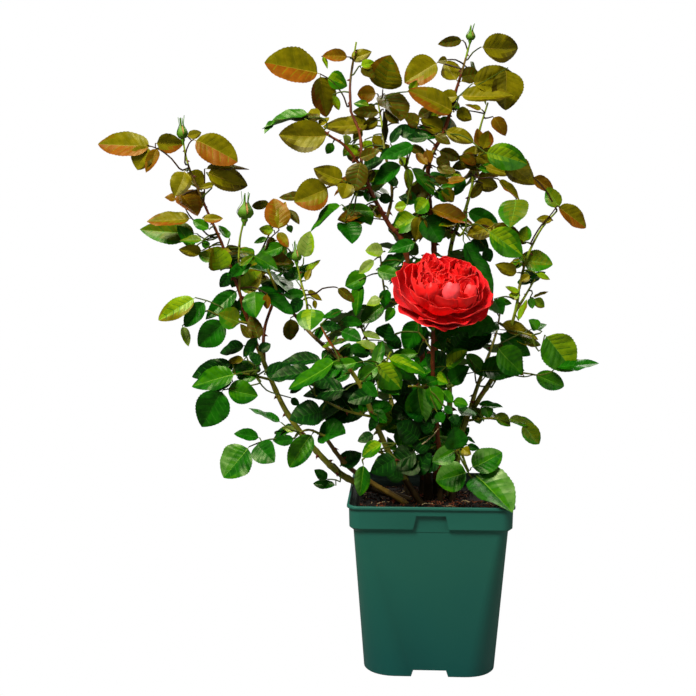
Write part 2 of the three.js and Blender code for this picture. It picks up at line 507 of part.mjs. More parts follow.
// One leaf as a closed skin: a three-sided stalk whose side faces open out into leaflets.
// Null where there is no room for it.
function growLeaf(root, [, azimuth, rise, reach, turn], draw, openSide, mine, owner) {
  const tipLength = TIP_LEAFLET.base + TIP_LEAFLET.share * reach;
  const wobble = Array.from({ length: 7 }, () => draw() * 2 - 1);
  const isFree = (solid, ownStem = null) => (
    isClear(solid, obstacles, owner) && isClear(solid, mine, ownStem));
  for (const [shiftTurn, shiftRise] of LEAF_SHIFTS) {
    const curve = stalkCurve(root, azimuth + shiftTurn, rise + shiftRise, reach);
    const face = turn + SPREAD.face * wobble[0];
    const end = station(curve, 1 - tipLength / reach, face, openSide);
    const stalk = [0.25, 0.6, 1].map((t) => curve.getPoint(t * (1 - tipLength / reach)));
    const stalkRoom = tube(stalk, STALK_RADIUS, TWIG_SIDES, 2, { grow: CLEARANCE });
    if (!isFree(leafletRoom(end, tipLength, true)) || !isFree(stalkRoom, 'stem')) continue;
    const firstFit = ({ step, sign, options, length }) => (
      { step, sign, length, place: options.find((place) => isFree(leafletRoom(place, length, false))) });
    const pairs = pairPlaces(curve, reach, tipLength, face, wobble, openSide);
    const fitted = pairs.map((pair) => pair.map(firstFit));
    return leafSkin(curve, end, tipLength, fitted.reverse(), face, openSide);
  }
  return null;
}

function leafSkin(curve, end, tipLength, pairs, turn, openSide) {
  const points = [];
  const faces = [];
  const add = (p) => points.push(p) - 1;
  const tri = (isMirrored, a, b, c) => faces.push(isMirrored ? [b, a, c] : [a, b, c]);
  const ring = ({ at, normal, left }, radius) => [
    add(along(at, [normal, -radius])),
    add(along(at, [normal, radius / 2], [left, radius * 0.87])),
    add(along(at, [normal, radius / 2], [left, -radius * 0.87]))];
  const bridge = (a, b, open) => [0, 1, 2].filter((i) => !open.includes(i)).forEach((i) => {
    const j = (i + 1) % 3;
    faces.push([a[i], a[j], b[j]], [a[i], b[j], b[i]]);
  });
  const radiusAt = (t) => THREE.MathUtils.lerp(STALK_RADIUS[0], STALK_RADIUS[1], t);
  let before = ring(station(curve, 0, turn, openSide), radiusAt(0));
  faces.push([before[0], before[2], before[1]]);
  for (const pair of pairs) {
    const step = pair[0].step;
    const halfFoot = LEAFLET_FOOT / 2 / curve.getLength();
    const near = ring(station(curve, step - halfFoot, turn, openSide), radiusAt(step));
    const far = ring(station(curve, step + halfFoot, turn, openSide), radiusAt(step));
    bridge(before, near, []);
    bridge(near, far, pair.map(({ place }, i) => (place ? [0, 2][i] : -1)));
    pair.filter(({ place }) => place).forEach(({ sign, place, length }) => {
      const isRight = sign < 0;
      const { lefts, rights, tip } = leafletMargin(place, length, false);
      const [back, front] = isRight ? [rights, lefts] : [lefts, rights];
      const [q, p, t] = [add(back[0]), add(front[0]), add(tip)];
      const [top, topFar] = isRight ? [near[2], far[2]] : [near[1], far[1]];
      tri(isRight, top, topFar, t);
      tri(isRight, topFar, p, t);
      tri(isRight, top, t, q);
      tri(isRight, near[0], t, far[0]);
      tri(isRight, far[0], t, p);
      tri(isRight, near[0], q, t);
      tri(isRight, near[0], top, q);
      tri(isRight, topFar, far[0], p);
    });
    before = far;
  }
  const last = ring(end, radiusAt(1));
  bridge(before, last, []);
  const { lefts, rights, tip } = leafletMargin(end, tipLength, true);
  const [bottom, left, right] = last;
  const [l1, l2] = lefts.map(add);
  const [r1, r2] = rights.map(add);
  const t = add(tip);
  faces.push([left, right, t], [right, r1, r2], [right, r2, t], [left, t, l2], [left, l2, l1]);
  faces.push([bottom, l1, l2], [bottom, l2, t], [bottom, t, r2], [bottom, r2, r1]);
  faces.push([bottom, left, l1], [right, bottom, r1]);
  return solidOf(points, faces);
}

// A bud: a five-sided spindle on the end of its stem
function makeBud(at, heading, length, radius) {
  const profile = [[-2, 0.35]];
  profile.push(...BUD_PROFILE.map(([step, share]) => [step * length, share]));
  const side = along(new THREE.Vector3(1, 0, 0), [heading, -heading.x]).normalize();
  const other = new THREE.Vector3().crossVectors(heading, side);
  return loft(profile.map(([step, share]) => Array.from({ length: 5 }, (_, i) => {
    const spoke = blend(side, Math.cos((2 * Math.PI * i) / 5), other, Math.sin((2 * Math.PI * i) / 5));
    return along(at, [heading, step], [spoke, share * radius]);
  })));
}

// Rows for the leaves that the rule sows, in golden turns up the stem
function sownLeaves(seed, count) {
  const draw = seeded(seed * 7919);
  const between = ([low, high]) => low + (high - low) * draw();
  const start = 360 * draw();
  return Array.from({ length: count }, (_, i) => {
    const place = SOWN.first + ((SOWN.last - SOWN.first) * (i + 0.5)) / count;
    return [place, start + GOLDEN_TURN * i, between(SOWN.rise), between(SOWN.reach), between(SOWN.turn)];
  });
}

function makeStem({ name, from, path }) {
  const start = centreLine(lines[from[0]].points).getPoint(from[1]);
  const points = [start, ...path.map(vector)];
  const stem = cutClear(tube(points, TWIG_RADIUS, TWIG_SIDES, TWIG_STEPS), from[0]);
  addObstacle(obstacles, stem, name);
  return { points, stem };
}

function makeMass({ name, leaves, sown, seed, bud }, { points, stem }) {
  const curve = centreLine(points);
  const openSide = points.at(-1).y > REAR_FROM ? 1 : -1;
  const mine = [];
  addObstacle(mine, stem, 'stem');
  const solids = [stem];
  if (bud) solids.push(makeBud(curve.getPoint(1), curve.getTangent(1), ...bud));
  [...leaves, ...sownLeaves(seed, sown)].forEach((row, index) => {
    const draw = seeded(seed * 1000 + index);
    const grown = growLeaf(curve.getPoint(row[0]), row, draw, openSide, mine, name);
    if (!grown) return;
    solids.push(grown);
    addObstacle(mine, grown, name);
    addObstacle(obstacles, grown, name);
  });
  return oneBody(wasm.Manifold.union(solids));
}

// Bloom
function bloomAxes() {
  const axis = vector(BLOOM.axis).normalize();
  const right = along(new THREE.Vector3(1, 0, 0), [axis, -axis.x]).normalize();
  return { axis, right, front: new THREE.Vector3().crossVectors(axis, right) };
}

function bloomPoint({ axis, right, front }, radius, angle, height) {
  const spoke = blend(right, Math.cos(angle), front, Math.sin(angle));
  return along(vector(BLOOM.centre), [spoke, radius], [axis, height]);
}

// One skin in rings, each waved by the petals that end on it
function makeBloom() {
  const frame = bloomAxes();
  const ring = ([radius, height, petals, wave]) => Array.from({ length: BLOOM.sides }, (_, i) => {
    const angle = (2 * Math.PI * i) / BLOOM.sides;
    const lobe = Math.cos(petals * angle + radius);
    return bloomPoint(frame, radius + wave * lobe, angle, height + 0.8 * wave * lobe);
  });
  const stemEnd = lines.cane_bloom.points.at(-1);
  const foot = bloomPoint(frame, 0, 0, BLOOM.rings[0][1] + 6);
  const calyx = tube([stemEnd, foot], BLOOM.calyx, LIMB_SIDES, 1, { spare: 2 });
  return cutClear(loft(BLOOM.rings.map(ring)).add(calyx), 'cane_bloom');
}

// Assembly
const group = new THREE.Group();
group.name = 'rose_bush';

function addNode(name, solid, colour, roughness) {
  const material = new THREE.MeshStandardMaterial({ color: COLOURS[colour], roughness, metalness: 0 });
  const mesh = new THREE.Mesh(geometryOf(solid), material);
  mesh.name = name;
  group.add(mesh);
}

function addFirm(name, solid, colour, roughness) {
  addNode(name, solid, colour, roughness);
  addObstacle(obstacles, solid, name);
}

addFirm('pot', makePot(), 'pot', 0.55);
addFirm('soil', makeSoil(), 'soil', 1);
addFirm('graft_stub', tube(STUB.path.map(vector), STUB.r, LIMB_SIDES, 1, { flatFoot: true }), 'stub', 0.9);
CANES.forEach((limb) => addFirm(limb.name, makeLimb(limb, true), 'cane', 0.8));
BOUGHS.forEach((limb) => addFirm(limb.name, makeLimb(limb, false), 'cane', 0.8));
addFirm('bloom', makeBloom(), 'bloom', 0.6);
const stems = MASSES.map(makeStem);
MASSES.forEach((mass, i) => addNode(mass.name, makeMass(mass, stems[i]), mass.tint, 0.6));

export default group;
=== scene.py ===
# A double red rose bush in a square nursery pot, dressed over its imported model.
# The tables are in millimetres, as the model's own are; pieces are made in metres.
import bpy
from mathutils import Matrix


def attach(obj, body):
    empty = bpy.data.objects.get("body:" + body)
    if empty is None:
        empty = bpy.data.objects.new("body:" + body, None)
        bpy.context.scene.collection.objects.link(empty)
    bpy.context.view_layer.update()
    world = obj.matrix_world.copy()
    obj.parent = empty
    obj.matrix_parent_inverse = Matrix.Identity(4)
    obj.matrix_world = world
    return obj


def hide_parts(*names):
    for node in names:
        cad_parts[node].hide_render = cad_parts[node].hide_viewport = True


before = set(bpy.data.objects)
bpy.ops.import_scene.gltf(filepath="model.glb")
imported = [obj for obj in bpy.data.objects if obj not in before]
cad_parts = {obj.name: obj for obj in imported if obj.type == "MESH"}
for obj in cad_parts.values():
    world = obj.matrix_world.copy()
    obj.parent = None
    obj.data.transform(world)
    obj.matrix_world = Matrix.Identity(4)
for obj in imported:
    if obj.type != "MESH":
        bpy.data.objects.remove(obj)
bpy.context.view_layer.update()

import math

import bpy
import numpy as np
from mathutils import kdtree

MM = 0.001
UP = np.array([0.0, 0.0, 1.0])
TAU = 2 * math.pi
# Seeds of the draws: a limb or a group of leaves adds its number, and a mass has a seed of its own
SEEDS = {"soil": 5, "bloom": 21, "stub": 77, "thorns": 100, "inner": 400, "seen": 700}

# Camera and light
CAMERA_PLACE = (-0.036, -1.303, 0.498)
CAMERA_PITCH = 5.5              # degrees down
CAMERA_YAW = 2.7                # degrees to the left
CAMERA_LENS = 56.9              # on a sensor 36 mm wide
EYE = np.array(CAMERA_PLACE) / MM
# Lamps: name, place, what it aims at, size, power, colour
LAMPS = [
    ("key", (-1.1, -1.4, 2.2), (-0.05, 0, 0.4), 0.8, 118, (1, 0.96, 0.87)),
    ("fill", (1.7, -1.4, 1.0), (-0.05, 0, 0.35), 1.2, 11, (1, 0.98, 0.93)),
    ("back", (0.6, 1.6, 2.0), (-0.05, 0, 0.4), 1.1, 30, (1, 0.97, 0.9)),
]
# The world's colour at the horizon and straight up
WORLD_LOW, WORLD_HIGH = (0.05, 0.05, 0.045, 1), (0.26, 0.25, 0.225, 1)

# Pot, as in the model
POT_LIP, POT_HEIGHT, POT_COLLAR, POT_SHOULDER, POT_BASE = 190, 203, 184.5, 175.5, 153
SHOULDER_HEIGHT, COLLAR_HEIGHT, LIP_THICKNESS, LIP_WALL, WALL = 172.5, 177, 3.6, 3.2, 2.2
FLOOR_TOP, LEDGE_LOW, LEDGE_HIGH, LIP_CORNER, FOOT_CORNER = 10.5, 193, 196, 12, 36
FOOT_NOTCH = {"top": 37.6, "bottom": 43.4, "low": -1, "high": 8, "depth": 30}
BAND_NOTCH = {"top": 33, "bottom": 43, "low": 171.5, "high": 192.5}
FOOT = 188.3                    # height at which the model cuts its canes
# Soil: heights of its rim and of its underside, gap to the wall, and what lies on it
SOIL_RIM, SOIL_FOOT, SOIL_GAP = 187, 12, 0.3
CRUMBS, FIBRES = 2600, 260

# The rule for leaves, as in the model
LEAF_ARCH, TIP_BASE, TIP_SHARE, TIP_WIDTH, PAIR_WIDTH, DROOP = 0.1, 9, 0.48, 0.72, 0.68, 0.12
PAIR_ANGLE, PAIR_PITCH, PAIR_SIZES = 76, -4, [0.9, 0.7, 0.56]
PAIR_GAPS, PAIR_REACHES = [0.12, 0.31, 0.42], [34, 80, 125]
LEAF_SHIFTS = [[0, 0], [14, 0], [-14, 0], [0, 14], [0, -14], [26, 10], [-26, 10]]
PITCH_SHIFTS = [0, 18, -18, 34]
SPREAD = {"face": 10, "angle": 5, "pitch": 7, "size": 0.05}
GOLDEN_TURN = 137.5
SOWN = {"first": 0.12, "last": 0.96, "rise": [-12, 30], "reach": [64, 88], "turn": [15, 45]}
REAR_FROM = 40                  # stems that end further back than this face away from the viewer

# Leaves, in this script only
NECK = 0.05                     # share of a blade's length that is its own short stalk
VEIN_WIDTH = 0.012              # as a share of its length
VEINS = [(34, 7, 2), (20, 6, 1), (0, 4, 1)]     # longer than this: spans between veins, teeth on each
SAME_PLACE = 0.35               # how near a vertex of the model a leaflet's tip has to lie
TOOTH = 0.016                   # depth of the teeth, as a share of half the width
SWEEP = 0.05                    # how far a blade may curve to its side, as a share of its length
DEPTH_SPREAD = 18               # how far a leaf placed one by one may stand before or behind its depth
BRONZE_FROM = 560               # young leaves above this height are bronze
BROADEST = 0.78                 # a listed leaflet leans forward where it looks broader than this
SLIMMEST = 0.42                 # and none is narrower than this, as a share of its length
FULLER = 1.13                   # how much wider than read they are made, as their ends are pointed
# How far blades bend down, least and most, and the outline of those of the rule
RULE_BENDS, SEEN_BENDS, RULE_SHAPE = (0.04, 0.26), (0.02, 0.08), (0.53, 0.8)
# Radii of stalks from foot to end, placed one by one and of the rule, and of the joints of leaflets
STALK_RADII, RULE_STALK_RADII, JOINT_RADIUS = (1.15, 0.75), (1.05, 0.55), 0.68
# A leaflet of the rule is left out where its middle is nearer to that of a listed one than this
# share of half the one's length and that share of its own, unless it stands this far behind
SEEN_REACH, RULE_REACH, BEHIND = 0.8, 0.15, 6
# Where a leaflet is checked against the sky, along and across it
SKY_PROBES = [(0.25, 0), (0.55, 0), (0.95, 0), (0.5, 0.24), (0.5, -0.24)]
MOST_TRIANGLES = 190000         # in one mesh, after which the next leaflet starts another

SLIM = 0.84                     # the bark's radii as a share of the model's limbs
SUNK = 6                        # how deep in the soil the bark of a cane starts
BASE_BARK = 26                  # how far up a cane its dark base reaches: older bark and painted shade
CHORDS = 60                     # in which the length of a line is measured
STATIONS = 60                   # places on a stem from which the stalks of leaves placed by hand may start
# Sides of a tube, step along it, and the spacing and size of its thorns
STUB_SIDES = 16
LIMB_SIDES, LIMB_STEP, LIMB_THORNS = 12, 2.5, (24, 4.6)
YOUNG_SIDES, YOUNG_STEP, YOUNG_THORNS, YOUNG_RADII = 8, 3, (17, 3.4), (2.1, 1.2)
# Limbs: look, name, carrier and share along it, first and last radius, places
LIMBS = [
    ("green", "cane_left", None, (5.2, 3.2),
     [[-24, 2, FOOT], [-93, -8, 214], [-132, -4, 245], [-172, -6, 298], [-206, -10, 378]]),
    ("brown", "cane_left_low", None, (4.2, 2.6),
     [[-27, -16, FOOT], [-92, -34, 233], [-122, -56, 276]]),
    ("green", "cane_centre_left", None, (4.6, 2.8),
     [[-9, -19, FOOT], [-42, -32, 242], [-62, -41, 285], [-80, -45, 332], [-105, -48, 368]]),
    ("red", "cane_bloom", None, (3.8, 2.6),
     [[14, -9, FOOT], [10, -21, 258], [3, -36, 340], [2, -44, 400]]),
    ("green", "cane_right", None, (4.6, 2.5),
     [[27, 1, FOOT], [40, 8, 274], [58, 9, 309], [76, 5, 340], [84, 0, 376], [98, -2, 404]]),
    ("red", "cane_back_left", None, (4.6, 2.6),
     [[-7, 19, FOOT], [-6, 30, 331], [-28, 31, 482], [-50, 22, 520], [-70, 14, 556], [-83, 6, 592]]),
    ("red", "cane_tall", None, (4.9, 2.2),
     [[10, 24, FOOT], [7, 40, 391], [5, 40, 490], [-3, 30, 583], [16, 22, 630], [29, 20, 676]]),
    ("shoot", "cane_back_right", None, (4.4, 2.6),
     [[28, 19, FOOT], [24, 58, 400], [26, 60, 490], [45, 55, 540]]),
    ("green", "cane_rear_left", None, (4.2, 2.4), [[-24, 20, FOOT], [-44, 70, 290], [-72, 96, 362]]),
    ("brown", "cane_rear_mid", None, (4.2, 2.4), [[-2, 37, FOOT], [4, 84, 300], [8, 108, 396]]),
    ("green", "cane_rear_right", None, (4.2, 2.4), [[21, 37, FOOT], [52, 78, 285], [78, 100, 356]]),
    ("red", "bough_left_fork", ("cane_left", 0.97), (2.9, 2),
     [[-217, -20, 414], [-224, -29, 444], [-243, -30, 498]]),
    ("red", "bough_left_inner", ("cane_left", 0.93), (2.6, 2), [[-198, 2, 392], [-190, 30, 426]]),
    ("brown", "bough_thorny", ("cane_centre_left", 0.95), (2.9, 1.9),
     [[-138, -14, 388], [-168, 2, 420], [-182, 2, 440]]),
    ("red", "bough_upper_left", ("cane_back_left", 0.96), (2.3, 1.7), [[-101, 0, 610], [-118, -4, 621]]),
    ("red", "bough_top_left", ("cane_back_left", 0.98), (2.3, 1.8), [[-84, 14, 624], [-95, 20, 652]]),
    ("brown", "bough_top_mid", ("cane_back_left", 0.62), (2.4, 1.8), [[-46, 40, 560], [-55, 42, 606]]),
    ("shoot", "bough_right_top", ("cane_back_right", 0.97), (2.4, 1.8), [[51, 51, 566], [53, 48, 588]]),
    ("shoot", "bough_right_shoot", ("cane_right", 0.97), (2.3, 1.8), [[101, -9, 426], [103, -10, 444]]),
]
STUB = ([[0, -1, FOOT], [-3, -4, 235]], (6.6, 5.2))
DEAD_TWIG = [[-33, -27, 238], [-30, -22, 246], [-10, -30, 262], [1, -36, 272], [11, -40, 285]]

# Masses of foliage: name, carrier and share along it, tint, seed, how many leaves the model lists for
# it, how many more the rule sows, and the rest of its stem. Where no leaf is placed one by one LISTED
# has the model's own, as [place along the stem, azimuth, rise, reach, turn of the face]
MASSES = [
    ("foliage_left_shoot", "bough_left_fork", 1, "bronze", 11, 9, 2,
     [[-262, -31, 541], [-280, -32, 586], [-286, -34, 618]]),
    ("foliage_bud_shoot", "bough_left_fork", 0.62, "mid", 12, 3, 1, [[-221, -38, 494], [-214, -42, 526]]),
    ("foliage_left_clump", "bough_thorny", 1, "mid", 13, 6, 2, [[-190, -8, 462], [-200, -10, 486]]),
    ("foliage_green_shoot", "bough_thorny", 0.42, "mid", 14, 6, 1,
     [[-145, -14, 424], [-152, -16, 452], [-157, -16, 476]]),
    ("foliage_left_tip", "bough_left_fork", 0.24, "deep", 15, 4, 1, [[-240, -30, 410], [-258, -40, 419]]),
    ("foliage_left_low", "cane_left", 0.87, "deep", 16, 6, 1, [[-222, -22, 344], [-240, -30, 340]]),
    ("foliage_low_left", "cane_left_low", 1, "deep", 17, 4, 1, [[-138, -62, 284], [-150, -66, 282]]),
    ("foliage_low_rim", "cane_left", 0.29, "deep", 18, 2, 0, [[-112, -26, 236], [-114, -40, 240]]),
    ("foliage_centre_left", "cane_centre_left", 0.56, "deep", 19, 6, 2,
     [[-100, -52, 306], [-134, -46, 322]]),
    ("foliage_red_shoot", "cane_centre_left", 1, "mid", 20, 5, 1, [[-118, -54, 388], [-126, -56, 404]]),
    ("foliage_centre", "cane_centre_left", 0.78, "mid", 21, 5, 1, [[-58, -56, 350], [-46, -62, 374]]),
    ("foliage_centre_front", "cane_bloom", 0.6, "deep", 22, 3, 1, [[-12, -58, 334], [-26, -70, 336]]),
    ("foliage_rim_left", "cane_centre_left", 0.27, "deep", 23, 3, 0, [[-64, -50, 258], [-78, -62, 250]]),
    ("foliage_left_of_bloom", "cane_back_left", 0.32, "deep", 24, 7, 2, [[-50, 10, 430], [-60, 0, 486]]),
    ("foliage_top_left", "bough_upper_left", 1, "bronze", 25, 4, 1, [[-136, -8, 634], [-147, -12, 640]]),
    ("foliage_top_left_high", "bough_top_left", 1, "bronze", 26, 7, 2,
     [[-96, 24, 684], [-92, 28, 716], [-89, 29, 734]]),
    ("foliage_top_mid", "bough_top_mid", 1, "mid", 27, 5, 3, [[-58, 46, 636], [-63, 48, 664]]),
    ("foliage_upper_left_low", "cane_back_left", 0.84, "bronze", 28, 3, 1, [[-84, 2, 560], [-94, -2, 566]]),
    ("foliage_top", "cane_tall", 1, "bronze", 29, 7, 3, [[37, 16, 702], [44, 11, 728]]),
    ("foliage_upper_centre", "cane_tall", 0.7, "mid", 30, 5, 2, [[-20, 14, 566], [-30, 4, 584]]),
    ("foliage_behind_bloom", "cane_back_right", 0.78, "mid", 31, 4, 1, [[36, 30, 506], [42, 16, 516]]),
    ("foliage_top_right", "bough_right_top", 1, "mid", 32, 7, 3, [[58, 44, 628], [68, 40, 664]]),
    ("foliage_rear_top", "bough_right_top", 0.35, "mid", 33, 0, 6, [[66, 76, 584], [74, 92, 612]]),
    ("foliage_right_shoot", "bough_right_shoot", 1, "mid", 34, 7, 2,
     [[111, -10, 478], [126, -16, 512], [144, -20, 534]]),
    ("foliage_right_sprig", "bough_right_shoot", 0.3, "mid", 35, 4, 0, [[112, 8, 434], [124, 14, 454]]),
    ("foliage_right_mid", "cane_right", 0.93, "deep", 36, 4, 1, [[108, -14, 392], [118, -18, 390]]),
    ("foliage_right_twig", "cane_right", 0.6, "deep", 37, 3, 0, [[96, -4, 345], [118, -13, 344]]),
    ("foliage_right_low", "cane_right", 0.24, "deep", 38, 4, 1, [[64, -8, 290], [80, -18, 292]]),
    ("foliage_front_right", "cane_right", 0.12, "deep", 39, 4, 0, [[30, -30, 254], [34, -56, 262]]),
    ("foliage_under_bloom", "cane_bloom", 0.84, "deep", 40, 3, 1, [[-6, -30, 384], [-14, -28, 394]]),
    ("foliage_core_left", "cane_back_left", 0.16, "deep", 45, 2, 3, [[-26, 8, 262], [-34, -4, 290]]),
    ("foliage_core_right", "cane_tall", 0.3, "deep", 46, 2, 3, [[20, 10, 330], [26, -8, 350]]),
    ("foliage_rear_upper", "cane_back_left", 0.5, "mid", 47, 0, 6, [[-40, 66, 500], [-52, 88, 524]]),
    ("foliage_left_rear", "bough_left_inner", 1, "mid", 41, 0, 6, [[-192, 44, 446], [-202, 54, 470]]),
    ("foliage_rear_left", "cane_rear_left", 1, "deep", 42, 0, 7, [[-86, 104, 392], [-92, 108, 420]]),
    ("foliage_rear_mid", "cane_rear_mid", 1, "deep", 43, 0, 8, [[4, 116, 440], [-6, 112, 476]]),
    ("foliage_rear_right", "cane_rear_right", 1, "deep", 44, 0, 6, [[88, 108, 384], [92, 108, 408]]),
]
LISTED = {
    "foliage_rim_left": [[1, 240, -60, 50, 70], [0.75, 185, 26, 46, 50], [0.35, 285, -28, 56, 60]],
    "foliage_under_bloom": [[0.9, 212, -36, 56, 65], [0.8, 330, -40, 62, 60], [0.95, 120, 20, 60, 30]],
    "foliage_core_left": [[0.9, 255, 8, 62, 60], [0.6, 290, -20, 60, 65]],
    "foliage_core_right": [[0.9, 285, 0, 60, 65], [0.7, 345, -28, 62, 60]],
}
